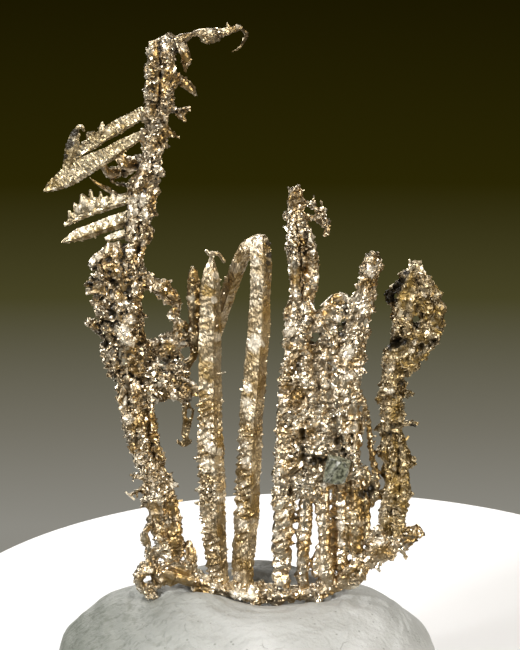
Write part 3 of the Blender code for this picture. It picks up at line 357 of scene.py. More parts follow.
spotEdge = {"reach": 1.5, "wander": 0.5, "size": 0.3, "full": 0.7, "gone": 1.1}


def spotShare(place, spots):
    share = 0.0
    for x, z, radius, strength in spots:
        away = math.hypot(place.x - x, place.z + sightDrop * place.y - z)
        if away < spotEdge["reach"] * radius:
            away += spotEdge["wander"] * radius * cloud(place, spotEdge["size"])
            fade = smoothStep(spotEdge["full"] * radius, spotEdge["gone"] * radius, away)
            share = max(share, strength * (1.0 - fade))
    return share


def ledgeHeight(place, pitch, slope):
    # shelves that slope upwards and are undercut, as a share from 0 to 1
    phase = (place.z - slope * place.x) / pitch + skin["wander"] * cloud(place, skin["wanderSize"])
    share = phase - math.floor(phase)
    under = skin["undercut"]
    return share / under if share < under else (1.0 - share) / (1.0 - under)


def skinHeight(place, look):
    least, more = skin["rough"]
    rough = least + more * smoothStep(-0.3, 0.2, cloud(place, *skin["calm"]))
    rough *= 1.0 - skin["smoothed"] * spotShare(place, look["smooth"])
    drawn = Vector((place.x, place.y, look["run"] * place.z))
    size, rise = look["lumps"]
    height = rise * cloud(drawn, size)
    size, rise = look["creases"]
    crease = min(abs(cloud(drawn, size, skin["creaseShift"])), skin["creaseTop"])
    height += rough * rise * (2.2 * crease - 0.5)
    size, rise = look["facets"]
    spot = drawn / size
    seed = noise.voronoi(spot)[1][0]
    tilt = noise.cell_vector(seed * 37.0) - Vector((0.5, 0.5, 0.5))
    height += rough * (skin["tilt"] * rise * tilt.dot(spot - seed) + skin["step"] * rise * tilt.x)
    pitch, rise, slope = look["ledges"]
    if rise:
        least, more = skin["shelves"]
        height += (least + more * rough) * rise * (ledgeHeight(place, pitch, slope) - 0.5)
    return height


def raiseSkin(obj, look):
    vertices = obj.data.vertices
    normals = copyNormals(obj.data)
    places = np.array([vertex.co[:] for vertex in vertices])
    sunken = grooveDepths(places, np.array([normal[:] for normal in normals]), look["grooves"])
    for vertex, normal, deep in zip(vertices, normals, sunken):
        vertex.co += normal * (skinHeight(vertex.co, look) + look["swell"])
        vertex.co.y += float(deep)


def cutFacets(obj, share):
    facets = obj.modifiers.new("facets", "DECIMATE")
    facets.ratio = share
    applyModifiers(obj)


def hollows(mesh, rounds):
    # how far each vertex lies below the mean surface around it
    places = np.empty(3 * len(mesh.vertices))
    mesh.vertices.foreach_get("co", places)
    places = places.reshape(-1, 3)
    ends = np.empty(2 * len(mesh.edges), dtype=np.int64)
    mesh.edges.foreach_get("vertices", ends)
    ends = ends.reshape(-1, 2)
    count = np.bincount(ends.ravel(), minlength=len(places)).reshape(-1, 1)
    smooth = places.copy()
    for step in range(rounds):
        total = np.zeros_like(smooth)
        np.add.at(total, ends[:, 0], smooth[ends[:, 1]])
        np.add.at(total, ends[:, 1], smooth[ends[:, 0]])
        smooth = 0.5 * smooth + 0.5 * total / np.maximum(count, 1)
    normals = np.array([vertex.normal[:] for vertex in mesh.vertices])
    return ((smooth - places) * normals).sum(axis=1)


# Dark minerals and painted shadow, tarnish and painted shade, whiter metal and painted highlight, and the
# crowding of grains are stored at each vertex, so that the grains set there take them over

tarnishAndShadeLook = {
    "cloud": 0.6, "clouds": (1.1, (4.0, 8.0, 1.0)),    # browner in clouds, on the underside, and in hollows as painted shade
    "below": 0.15, "hollow": 0.5, "smooth": 0.25,
    "solid": 0.95, "specks": 0.2,                      # dark minerals and painted shadow weaker than solid break up into specks
    "patchy": 1.2, "patchShift": (9.0, 2.0, 5.0),
}


def colourSkin(obj, look):
    mesh = obj.data
    deep = hollows(mesh, look["rounds"])
    soot, tarnishAndShade, bright, cover = (mesh.attributes.new(name, "FLOAT", "POINT")
                                    for name in ("soot", "tarnishAndShade", "bright", "cover"))
    top, reach = look["crustBelow"]
    for index, vertex in enumerate(mesh.vertices):
        place, normal = vertex.co, vertex.normal
        black, browned, whitened, smooth = (spotShare(place, look[key]) for key in spotTables)
        hollow = smoothStep(-0.01, look["deepest"], deep[index])
        brown = look["brown"] + tarnishAndShadeLook["cloud"] * cloud(place, *tarnishAndShadeLook["clouds"])
        # painted shade: faces turned right, away from the key light, are browner and faces turned left are
        # paler. Faces turned down are browner too.
        brown = brown + look["sideBrown"] * normal.x - tarnishAndShadeLook["below"] * normal.z
        # painted shade: hollows turn browner, keep less of the whiter metal, and at their deepest turn black
        # through the pits share
        brown = brown + tarnishAndShadeLook["hollow"] * hollow + tarnishAndShadeLook["smooth"] * smooth
        # these spots are partly dark minerals and partly painted shadow
        if 0.0 < black < tarnishAndShadeLook["solid"]:
            black *= smoothStep(-0.3, 0.2, cloud(place, tarnishAndShadeLook["specks"]))
        soot.data[index].value = max(black, look["pits"] * hollow ** 3 * (1.0 - whitened))
        # partly painted highlight: the bright spots whiten the metal, except in hollows
        bright.data[index].value = whitened * (1.0 - hollow)
        tarnishAndShade.data[index].value = clamp(max(brown * (1.0 - whitened), browned))
        patch = 0.5 + tarnishAndShadeLook["patchy"] * cloud(place, look["patch"], tarnishAndShadeLook["patchShift"])
        patch *= look["crowd"] * (1.0 - smoothStep(top - reach, top, place.z))
        cover.data[index].value = min(1.0, max(look["bare"], patch)) * (1.0 - smooth) ** 2


# Small crystals set all over a skin, as realized instances: octahedron, three-sided plate, two flakes

sugarLook = {
    "octahedron": {"Segments": 4, "Rings": 2, "Radius": 0.6},
    "plate": {"Vertices": 3, "Radius Top": 0.6, "Radius Bottom": 0.85, "Depth": 0.32},
    "narrow": {"Size": (1.9, 0.5, 0.4)}, "flake": {"Size": (1.35, 0.85, 0.3)},
    "thick": 1.6,                                      # how many points are tried for each square of spacing
    "fewLarge": 1.8, "sunk": -0.12,                    # most are small, and all sink in by this share
    "uneven": ((0.7, 0.7, 0.7), (1.4, 1.4, 1.4)),      # least and most of each side
    "patch": 1.5, "patchLean": (0.85, 0.85, 5.0),      # crystals of one patch lean the same way, so they glint
    "ownLean": ((-0.28, -0.28, -0.5), (0.28, 0.28, 0.5)),
    "tones": (0.25, 1.0),
}


def sugarGroup():
    group = bpy.data.node_groups.new("sugarGrains", "GeometryNodeTree")
    addSockets(group, "INPUT", "Geometry", "Geometry")
    addSockets(group, "INPUT", "Float", "Spacing", "Smallest", "Largest")
    addSockets(group, "INPUT", "Int", "Seed")
    addSockets(group, "OUTPUT", "Geometry", "Geometry")
    given = addNode(group, "NodeGroupInput").outputs

    def dice(kind, low, high, seed):
        first = {"FLOAT_VECTOR": 0, "FLOAT": 2, "INT": 4}[kind]
        node = addNode(group, "FunctionNodeRandomValue", {first: low, first + 1: high, "Seed": seed},
                       data_type=kind)
        return node.outputs[first // 2]

    cover = addNode(group, "GeometryNodeInputNamedAttribute", {"Name": "cover"}, data_type="FLOAT")
    square = mathNode(group, "MULTIPLY", given["Spacing"], given["Spacing"])
    points = addNode(group, "GeometryNodeDistributePointsOnFaces", {
        "Mesh": given["Geometry"], "Distance Min": given["Spacing"], "Seed": given["Seed"],
        "Density Max": mathNode(group, "DIVIDE", sugarLook["thick"], square),
        "Density Factor": cover.outputs["Attribute"]}, distribute_method="POISSON").outputs
    share = mathNode(group, "POWER", dice("FLOAT", 0.0, 1.0, 11), sugarLook["fewLarge"])
    spread = mathNode(group, "SUBTRACT", given["Largest"], given["Smallest"])
    size = mathNode(group, "MULTIPLY_ADD", share, spread, given["Smallest"])
    depth = mathNode(group, "MULTIPLY", size, sugarLook["sunk"])
    seated = addNode(group, "GeometryNodeSetPosition", {
        "Geometry": points["Points"], "Offset": vectorNode(group, "SCALE", points["Normal"], depth)})
    habits = addNode(group, "GeometryNodeGeometryToInstance")
    for name, kind in (("octahedron", "UVSphere"), ("plate", "Cone"), ("narrow", "Cube"), ("flake", "Cube")):
        shape = addNode(group, "GeometryNodeMesh" + kind, sugarLook[name])
        group.links.new(shape.outputs["Mesh"], habits.inputs[0])
    sides = vectorNode(group, "SCALE", dice("FLOAT_VECTOR", *sugarLook["uneven"], 12), size)
    here = addNode(group, "GeometryNodeInputPosition").outputs[0]
    lean = vectorNode(group, "SUBTRACT", cellNode(group, here, sugarLook["patch"])["Color"], (0.5, 0.5, 0.5))
    lean = vectorNode(group, "MULTIPLY", lean, sugarLook["patchLean"])
    lean = vectorNode(group, "ADD", lean, dice("FLOAT_VECTOR", *sugarLook["ownLean"], 14))
    turned = addNode(group, "FunctionNodeRotateRotation", {"Rotation": points["Rotation"], "Rotate By": lean},
                     rotation_space="LOCAL")
    grains = addNode(group, "GeometryNodeInstanceOnPoints", {
        "Points": seated.outputs["Geometry"], "Instance": habits.outputs[0], "Pick Instance": True,
        "Instance Index": dice("INT", 0, 3, 13), "Scale": sides, "Rotation": turned.outputs[0]})
    toned = addNode(group, "GeometryNodeStoreNamedAttribute", {
        "Geometry": grains.outputs["Instances"], "Name": "grain",
        "Value": dice("FLOAT", *sugarLook["tones"], 15)}, data_type="FLOAT", domain="INSTANCE")
    real = addNode(group, "GeometryNodeRealizeInstances", {"Geometry": toned.outputs["Geometry"]})
    joined = addNode(group, "GeometryNodeJoinGeometry", {"Geometry": given["Geometry"]})
    group.links.new(real.outputs["Geometry"], joined.inputs["Geometry"])
    flat = addNode(group, "GeometryNodeSetShadeSmooth", {"Geometry": joined.outputs["Geometry"],
                                                         "Shade Smooth": False})
    addNode(group, "NodeGroupOutput", {"Geometry": flat.outputs["Geometry"]})
    return group


sugar = sugarGroup()


def sprinkle(obj, spacing, smallest, largest, seed):
    grains = obj.modifiers.new("sugar", "NODES")
    grains.node_group = sugar
    values = {"Spacing": spacing, "Smallest": smallest, "Largest": largest, "Seed": seed}
    for item in sugar.interface.items_tree:
        if item.name in values:
            grains[item.identifier] = values[item.name]
    applyModifiers(obj)


# Silver: bright crystal faces over a skin made browner as painted shade, black where minerals sit and, as
# painted shade, in the deepest hollows

skinLook = {
    "freckleScale": 2600.0, "grainLift": -0.45, "brownRange": (-0.25, 0.75),
    "freshAndHighlight": (1.0, 0.94, 0.84), "freshAndHighlightShare": 0.5,         # the whiter metal is nearly white: partly freshly grown metal, partly painted highlight
    "darkGrainsAndGapShade": (0.25, 0.42, 0.85, 0.0),                 # one grain in five is dark, and the skin between is painted dark as shade
    "swayScale": 1500.0, "sway": 0.0004,
    "crackWidth": (0.02, 0.12, 1.0, 0.0), "crackCrowding": (0.0, 0.5, 0.35, 1.0),
    # the gap colour is painted shade between grains and in cracks; the near black is dark minerals and painted
    # shadow
    "gap": (0.060, 0.032, 0.005), "mineral": (0.014, 0.009, 0.002),
    "tiltWear": (0.0, 1.0, 0.4, 1.0), "frost": (0.8, 0.45),  # the whiter metal is frosted by the finest crystals
    "sootAndShadeShine": -0.8, "frostShine": -0.45,
}
skinSockets = {"Facet Size": "facet", "Facet Tilt": "tilt", "Facet Run": "run", "Crack Spacing": "scales",
               "Cracks": "cracks", "Freckles": "freckles", "Shine": "shine", "Dullness": "dull"}


def silverSkinGroup():
    group = bpy.data.node_groups.new("silverSkin", "ShaderNodeTree")
    addSockets(group, "INPUT", "Color", "Tint", "Tarnish And Shade Tint")
    addSockets(group, "INPUT", "Float", *skinSockets)
    addSockets(group, "OUTPUT", "Color", "Color")
    addSockets(group, "OUTPUT", "Float", "Roughness", "Metal")
    addSockets(group, "OUTPUT", "Vector", "Normal")
    given = addNode(group, "NodeGroupInput").outputs
    place = addNode(group, "ShaderNodeTexCoord").outputs["Object"]
    grain, soot, tarnishAndShade, bright, cover = (
        addNode(group, "ShaderNodeAttribute", attribute_name=name).outputs["Fac"]
        for name in ("grain", "soot", "tarnishAndShade", "bright", "cover"))

    def reckon(operation, *terms):
        return mathNode(group, operation, *terms)

    # grains are brighter than the skin between them, which is browner as painted shade, and no two the same
    freckle = noiseNode(group, place, skinLook["freckleScale"], 3.0)["Fac"]
    freckled = reckon("MULTIPLY", reckon("SUBTRACT", freckle, 0.5), given["Freckles"])
    dulled = reckon("MULTIPLY_ADD", grain, skinLook["grainLift"], reckon("ADD", tarnishAndShade, freckled))
    brown = rangeNode(group, dulled, *skinLook["brownRange"])
    metal = mixNode(group, brown, given["Tint"], given["Tarnish And Shade Tint"])
    metal = mixNode(group, reckon("MULTIPLY", bright, skinLook["freshAndHighlightShare"]), metal, skinLook["freshAndHighlight"])
    dark = reckon("MULTIPLY", rangeNode(group, grain, *skinLook["darkGrainsAndGapShade"]), cover)
    dark = reckon("MULTIPLY", dark, reckon("SUBTRACT", 1.0, bright))
    # painted shade: thin dark cracks part the scales of the skin, more where grains crowd
    run = addNode(group, "ShaderNodeCombineXYZ", {"X": 1.0, "Y": 1.0, "Z": given["Facet Run"]}).outputs[0]
    drawn = vectorNode(group, "MULTIPLY", place, run)
    sway = vectorNode(group, "SCALE", noiseNode(group, place, skinLook["swayScale"], 2.0)["Color"],
                      skinLook["sway"])
    scales = cellNode(group, vectorNode(group, "ADD", drawn, sway),
                      reckon("DIVIDE", 1.0, given["Crack Spacing"]), "DISTANCE_TO_EDGE")
    crack = rangeNode(group, scales["Distance"], *skinLook["crackWidth"])
    worn = rangeNode(group, cover, *skinLook["crackCrowding"])
    crack = reckon("MULTIPLY", crack, reckon("MULTIPLY", given["Cracks"], worn))
    crack = reckon("MULTIPLY", crack, reckon("GREATER_THAN", 0.1, grain))
    shaded = mixNode(group, reckon("MAXIMUM", dark, crack), metal, skinLook["gap"])
    # near black where dark minerals sit, and as painted shadow and painted shade where the spots and deepest
    # hollows put it
    colour = mixNode(group, soot, shaded, skinLook["mineral"])
    # each facet leans its own way
    cells = cellNode(group, drawn, reckon("DIVIDE", 1.0, given["Facet Size"]))
    lean = vectorNode(group, "SUBTRACT", cells["Color"], (0.5, 0.5, 0.5))
    worn = rangeNode(group, cover, *skinLook["tiltWear"])
    lean = vectorNode(group, "SCALE", lean, reckon("MULTIPLY", given["Facet Tilt"], worn))
    outward = addNode(group, "ShaderNodeNewGeometry").outputs["Normal"]
    normal = vectorNode(group, "NORMALIZE", vectorNode(group, "ADD", outward, lean))
    whitened, frosted = skinLook["frost"]
    frost = rangeNode(group, bright, 0.0, whitened, given["Shine"], frosted)
    rough = rangeNode(group, brown, 0.0, 1.0, frost, given["Dullness"])
    metallic = reckon("MULTIPLY_ADD", soot, skinLook["sootAndShadeShine"], 1.0)
    metallic = reckon("MULTIPLY_ADD", bright, skinLook["frostShine"], metallic)
    addNode(group, "NodeGroupOutput", {"Color": colour, "Roughness": rough, "Metal": metallic,
                                       "Normal": normal})
    return group


silverSkin = silverSkinGroup()


def silverMaterial(name, finish):
    material, tree, shader = newMaterial(name)
    coat = addNode(tree, "ShaderNodeGroup", node_tree=silverSkin)
    for socket, key in (("Tint", "tint"), ("Tarnish And Shade Tint", "brown")):
        coat.inputs[socket].default_value = (*finish[key], 1.0)
    for socket, key in skinSockets.items():
        coat.inputs[socket].default_value = finish[key]
    for output, socket in (("Color", "Base Color"), ("Roughness", "Roughness"), ("Metal", "Metallic"),
                           ("Normal", "Normal")):
        tree.links.new(coat.outputs[output], shader.inputs[socket])
    return material


silverFinish = {"tint": (0.97, 0.89, 0.735), "brown": (0.43, 0.29, 0.12), "facet": 0.00014, "tilt": 0.45,
                "run": 1.0, "scales": 0.00035, "cracks": 0.7, "freckles": 0.6, "shine": 0.27, "dull": 0.40}
wireFinish = dict(silverFinish, tint=(0.95, 0.86, 0.69), brown=(0.41, 0.285, 0.115), facet=0.00010, tilt=0.6,
                  run=0.45, scales=0.0003, cracks=0.9, freckles=0.35, shine=0.30)
metals = {name: silverMaterial(name, finish) for name, finish in {
    "crust silver": silverFinish,
    "wire silver": wireFinish,
    "head silver": dict(silverFinish, tint=(0.84, 0.73, 0.53), brown=(0.36, 0.25, 0.09), tilt=0.35, shine=0.36,
                        dull=0.5),
    "blade silver": dict(wireFinish, tint=(0.90, 0.79, 0.57), brown=(0.26, 0.19, 0.08), facet=0.00018, run=1.0,
                         shine=0.35, dull=0.46),
    "bronzed silver": dict(silverFinish, tint=(0.88, 0.77, 0.56), brown=(0.33, 0.22, 0.085), tilt=0.5),
}.items()}


def dress(obj, nodes, material):
    obj.data.transform(Matrix.Scale(mm, 4))
    obj.data.materials.clear()
    obj.data.materials.append(material)
    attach(obj, "root")
    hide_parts(*nodes)
    print("made", obj.name, "with", sum(len(face.vertices) - 2 for face in obj.data.polygons), "triangles")


def crustPiece(node, look):
    dice = random.Random(node)
    bm = solidCopy(node)
    tree = BVHTree.FromBMesh(bm)
    if look["threads"]:
        addThreads(bm, tree, *look["threads"], dice)
    for rows in look["stems"]:
        addStem(bm, tree, rows, look["sunk"], dice)
        if len(rows) > 3:
            addStem(bm, tree, rows, look["sunk"], dice, side=-1.0)
    obj = linkedObject("fine_" + node, bm)
    fuse(obj, look["voxel"], look["calm"])
    raiseSkin(obj, look)
    closeForks(obj, node, *look["reach"])
    cutFacets(obj, look["thin"])
    colourSkin(obj, look)
    sprinkle(obj, *look["grains"])
    dress(obj, [node], metals[look["metal"]])


plain = dict.fromkeys(spotTables + pathTables + ("threads",), ())

crust = dict(
    plain, metal="crust silver", slot="silver",
    voxel=0.06, calm=0, swell=-0.05, thin=0.36, sunk=0.25,
    run=1.0, lumps=(0.8, 0.05), creases=(0.32, 0.10), facets=(0.22, 0.06),   # each a size and a rise
    ledges=(0.6, 0.0, 0.3),         # pitch, rise, slope
    reach=(0.12, 0.6),              # how far a skin reaches to its neighbour, sideways and at its ends
    rounds=8, deepest=0.08, brown=0.30, sideBrown=0.3, pits=0.8,
    patch=0.6, bare=0.15, crowd=1.0, crustBelow=(99.0, 1.0),
    grains=(0.14, 0.07, 0.32, 1))   # spacing, smallest, largest, seed


# The trunk at the left, from the putty up

lowerTrunk = lookOf(crust, reach=(0.2, 0.6), ledges=(0.55, 0.16, 0.55), lumps=(0.8, 0.03), crowd=0.8,
    grains=(0.14, 0.07, 0.28, 2),
    stems=[
        [(-688, 1902, 33), (-676, 1820, 39), (-654, 1732, 39), (-633, 1645, 39), (-616, 1557, 39),
         (-583, 1481, 39), (-567, 1422, 33)],
        [(-621, 1849, 28), (-594, 1732, 28), (-572, 1615, 28), (-545, 1516, 33)],
        [(-550, 1867, 28), (-528, 1732, 28), (-512, 1615, 28), (-490, 1516, 28), (-462, 1446, 22)],
        [(-567, 1399, 33), (-528, 1375, 39), (-484, 1364, 39), (-440, 1352, 33)],
        [(-517, 1282, 33), (-512, 1206, 39), (-495, 1130, 39), (-473, 1060, 39), (-457, 989, 33)],
        [(-429, 1282, 33), (-407, 1206, 33), (-390, 1118, 33), (-385, 1030, 33), (-396, 966, 28)],
        [(-484, 943, 28), (-451, 907, 33), (-418, 884, 28)]],
    soot=[(-545, 1223, 17, 70), (-512, 1177, 39, 70), (-457, 1083, 28, 50), (-451, 907, 39, 55),
        (-550, 1902, 22, 40), (-446, 1329, 17, 60), (-396, 1118, 14, 50), (-500, 972, 17, 70)],
    browned=[(-550, 1879, 28, 90), (-616, 1539, 39, 70), (-517, 1188, 39, 70), (-528, 1715, 39, 75),
        (-506, 1598, 39, 75), (-479, 1492, 39, 75), (-396, 1165, 44, 60), (-385, 1036, 44, 65),
        (-418, 1247, 39, 50), (-621, 1533, 39, 40)],
    bright=[(-660, 1808, 28, 80), (-649, 1703, 33, 70), (-588, 1492, 22, 60), (-407, 1317, 22, 100)],
    smooth=[(-512, 1177, 55, 95), (-407, 1165, 44, 95), (-390, 1060, 44, 90), (-479, 1048, 39, 70),
        (-528, 1674, 33, 80), (-495, 1528, 28, 80), (-407, 983, 33, 80), (-457, 907, 33, 70)],
    grooves=[
        [14, 16, (-561, 1890), (-550, 1732), (-533, 1586), (-506, 1457)],
        [14, 16, (-457, 1270), (-440, 1147), (-424, 1030), (-418, 954)], [17, 20, (-550, 1253), (-528, 1282)]])

knobbyTrunk = lookOf(crust, reach=(0.3, 0.6), brown=0.4, threads=(90, 0.8, 0.085), creases=(0.3, -0.11),
    pits=1.7, deepest=0.055, grains=(0.14, 0.07, 0.3, 3),
    stems=[
        [(-621, 2627, 28), (-616, 2551, 33), (-605, 2464, 39), (-621, 2376, 44), (-643, 2300, 44),
         (-654, 2218, 49), (-649, 2142, 49), (-633, 2066, 44)],
        [(-842, 2592, 22), (-814, 2651, 28), (-759, 2680, 28), (-704, 2686, 28)],
        [(-874, 2499, 17), (-825, 2487, 19), (-781, 2499, 22)], [(-863, 2452, 17), (-809, 2452, 19)],
        [(-847, 2387, 17), (-792, 2352, 22), (-748, 2300, 22)],
        [(-869, 2276, 22), (-830, 2253, 28), (-792, 2212, 28)],
        [(-787, 2142, 22), (-748, 2095, 28), (-715, 2042, 28)],
        [(-787, 2434, 17), (-765, 2382, 22), (-754, 2335, 17)],
        [22, (-803, 2569), (-748, 2592), (-693, 2569), (-660, 2522)],
        [(-704, 2452, 22), (-693, 2405, 22), (-704, 2358, 17)]],
    soot=[(-726, 2510, 22, 100), (-820, 2522, 17, 90), (-814, 2423, 22, 90), (-781, 2364, 17, 90),
        (-737, 2329, 25, 95), (-693, 2335, 17, 80), (-759, 2265, 33, 85), (-726, 2247, 28, 70),
        (-775, 2153, 28, 95), (-715, 2183, 17, 90), (-825, 2212, 17, 80), (-671, 2142, 11, 70),
        (-748, 2101, 14, 80), (-671, 2580, 14, 70), (-781, 2580, 14, 70)],
    browned=[(-759, 2592, 77, 70), (-649, 2522, 44, 55), (-572, 2428, 28, 95), (-594, 2393, 22, 70),
        (-611, 2276, 19, 60)],
    bright=[(-654, 2370, 33, 90), (-671, 2224, 39, 100), (-633, 2288, 28, 90), (-633, 2159, 28, 80),
        (-770, 2405, 17, 20), (-803, 2657, 28, 70), (-732, 2428, 14, 100), (-704, 2721, 28, 90)],
    smooth=[(-616, 2493, 28, 60), (-605, 2376, 28, 60), (-649, 2259, 33, 50), (-627, 2142, 28, 50)],
    grooves=[
        [(-792, 2270, 33, 33), (-742, 2253, 33, 33), (-704, 2265, 28, 26)],
        [22, 33, (-748, 2516), (-709, 2487)], [(-781, 2189, 19, 33), (-770, 2136, 19, 26)],
        [17, 20, (-847, 2534), (-797, 2516)], [19, 26, (-830, 2423), (-797, 2411)],
        [22, 26, (-754, 2341), (-726, 2317)], [17, 26, (-704, 2352), (-682, 2317)],
        [17, 23, (-726, 2194), (-709, 2153)],
        [(-699, 1984, 17, 26), (-649, 1960, 19, 26), (-600, 1937, 17, 20)],
        [22, 20, (-682, 1914), (-643, 1890)], [17, 23, (-605, 2089), (-578, 2054)],
        [(-787, 2580, 17, 20), (-770, 2545, 14, 20)], [14, 20, (-682, 2604), (-666, 2557)]])

upperTrunk = lookOf(crust, reach=(0.3, 0.6), ledges=(0.5, 0.06, 0.4), pits=1.5, deepest=0.06, brown=0.36,
    grains=(0.135, 0.07, 0.26, 4),
    stems=[
        [33, (-506, 3885), (-506, 3832), (-512, 3739), (-522, 3645), (-522, 3552), (-512, 3470)],
        [33, (-429, 3879), (-418, 3791), (-407, 3721), (-424, 3645), (-446, 3552), (-462, 3481)],
        [39, (-484, 3435), (-500, 3364), (-512, 3283), (-528, 3206), (-550, 3130), (-583, 3060)],
        [28, (-605, 3002), (-621, 2920), (-621, 2826), (-621, 2727), (-633, 2639)],
        [(-539, 3013, 28), (-545, 2920, 22), (-555, 2826, 22), (-567, 2733, 22), (-583, 2651, 22)],
        [22, (-484, 3224), (-495, 3154), (-517, 3095)], [17, (-638, 3049), (-594, 3095), (-550, 3130)],
        [(-385, 3885, 19), (-341, 3844, 28), (-325, 3791, 25), (-330, 3751, 14)],
        [(-369, 3680, 22), (-330, 3657, 28), (-297, 3622, 19), (-269, 3593, 8)],
        [(-374, 3505, 14), (-335, 3517, 14), (-308, 3522, 17)], [17, (-363, 3470), (-335, 3452)],
        [(-500, 3868, 14), (-484, 3908, 17), (-451, 3920, 17), (-429, 3891, 14)],
        [(-765, 3148, 22), (-721, 3148, 39), (-682, 3166, 28)],
        [(-671, 3189, 33), (-633, 3201, 44), (-588, 3212, 44)],
        [(-858, 3119, 8), (-814, 3084, 14), (-759, 3049, 17), (-704, 3013, 19), (-660, 2984, 22),
         (-616, 2955, 22)]],
    smooth=[(-330, 3821, 44, 90), (-314, 3634, 49, 90), (-479, 3832, 22, 70), (-517, 3283, 33, 50),
        (-721, 3154, 49, 90), (-633, 3201, 55, 90), (-814, 3084, 44, 90)],
    soot=[(-588, 2949, 8, 70), (-583, 2861, 9, 70), (-588, 2768, 9, 80), (-550, 2791, 14, 50),
        (-605, 2885, 10, 70), (-473, 3774, 14, 80), (-539, 3622, 14, 80), (-500, 3751, 14, 90),
        (-473, 3552, 11, 40), (-512, 3411, 14, 80), (-671, 3107, 22, 80), (-462, 3435, 14, 80),
        (-533, 3557, 11, 80), (-528, 3715, 11, 70)],
    browned=[(-407, 3692, 55, 80), (-473, 3622, 55, 70), (-341, 3809, 44, 80), (-335, 3634, 55, 75),
        (-517, 2943, 22, 50), (-473, 3797, 55, 65), (-484, 3505, 55, 35), (-814, 3084, 55, 70),
        (-715, 3154, 44, 35), (-528, 3657, 22, 60), (-418, 3751, 33, 60), (-407, 3400, 33, 60),
        (-539, 2627, 28, 50)],
    bright=[(-633, 2698, 22, 90), (-649, 2961, 28, 80), (-539, 3177, 28, 60), (-517, 3856, 22, 60),
        (-451, 3856, 17, 80), (-621, 2838, 22, 80), (-484, 3166, 22, 70), (-572, 2984, 39, 90),
        (-550, 2908, 22, 70), (-605, 2920, 22, 60), (-600, 2756, 33, 35), (-567, 2733, 22, 50)],
    grooves=[
        [(-588, 2972, 9, 14), (-583, 2844, 10, 14), (-588, 2727, 10, 16), (-594, 2651, 11, 13)],
        [(-467, 3821, 14, 20), (-462, 3721, 14, 23), (-473, 3604, 14, 20), (-484, 3487, 14, 20)],
        [11, 13, (-528, 3751), (-495, 3739)], [11, 13, (-539, 3622), (-506, 3634)],
        [11, 20, (-539, 3557), (-473, 3540)], [14, 20, (-522, 3411), (-457, 3429)],
        [17, 20, (-682, 3107), (-654, 3084)]])

# The open ring and matted clump beside it

wireNest = lookOf(crust, swell=-0.04, pits=1.2, deepest=0.065, reach=(0.34, 0.5), brown=0.4,
    threads=(150, 0.75, 0.075), creases=(0.3, -0.09), grains=(0.14, 0.07, 0.3, 5),
    stems=[
        [(-572, 2534, 28), (-517, 2493, 33), (-462, 2458, 36), (-407, 2423, 28)],
        [(-517, 2499, 17), (-512, 2545, 14)], [17, (-462, 2464), (-451, 2516)],
        [11, (-412, 2464), (-379, 2440), (-374, 2399)], [14, (-506, 2007), (-484, 2048), (-467, 2089)],
        [17, (-473, 2183), (-440, 2200), (-407, 2212), (-374, 2194)],
        [17, (-473, 1843), (-429, 1855), (-385, 1843), (-341, 1826)],
        [17, (-341, 1949), (-308, 1919), (-286, 1879)], [17, (-385, 2019), (-358, 1984), (-330, 1949)]],
    soot=[(-446, 2036, 22, 95), (-424, 2060, 14, 90), (-495, 1914, 17, 60), (-385, 1808, 22, 50),
        (-330, 1808, 17, 80), (-418, 2112, 17, 60), (-363, 2148, 14, 70), (-512, 1820, 19, 90),
        (-539, 1843, 17, 60), (-407, 1984, 14, 70)],
    browned=[(-550, 1867, 33, 100), (-429, 2124, 39, 80), (-330, 2101, 33, 70), (-407, 1937, 33, 60),
        (-379, 2335, 33, 70), (-308, 1832, 33, 70), (-374, 2253, 28, 80)],
    bright=[(-484, 2042, 17, 90), (-396, 1832, 22, 70), (-308, 1925, 22, 80)],
    grooves=[
        [(-467, 2031, 19, 33), (-424, 2060, 17, 33)], [17, 20, (-512, 1914), (-479, 1919)],
        [17, 20, (-528, 2112), (-484, 2136)], [14, 20, (-390, 2054), (-374, 1995)],
        [14, 20, (-429, 1890), (-363, 1879)]])

# The wide crust that joins the columns, its two columns and the blunt thumb

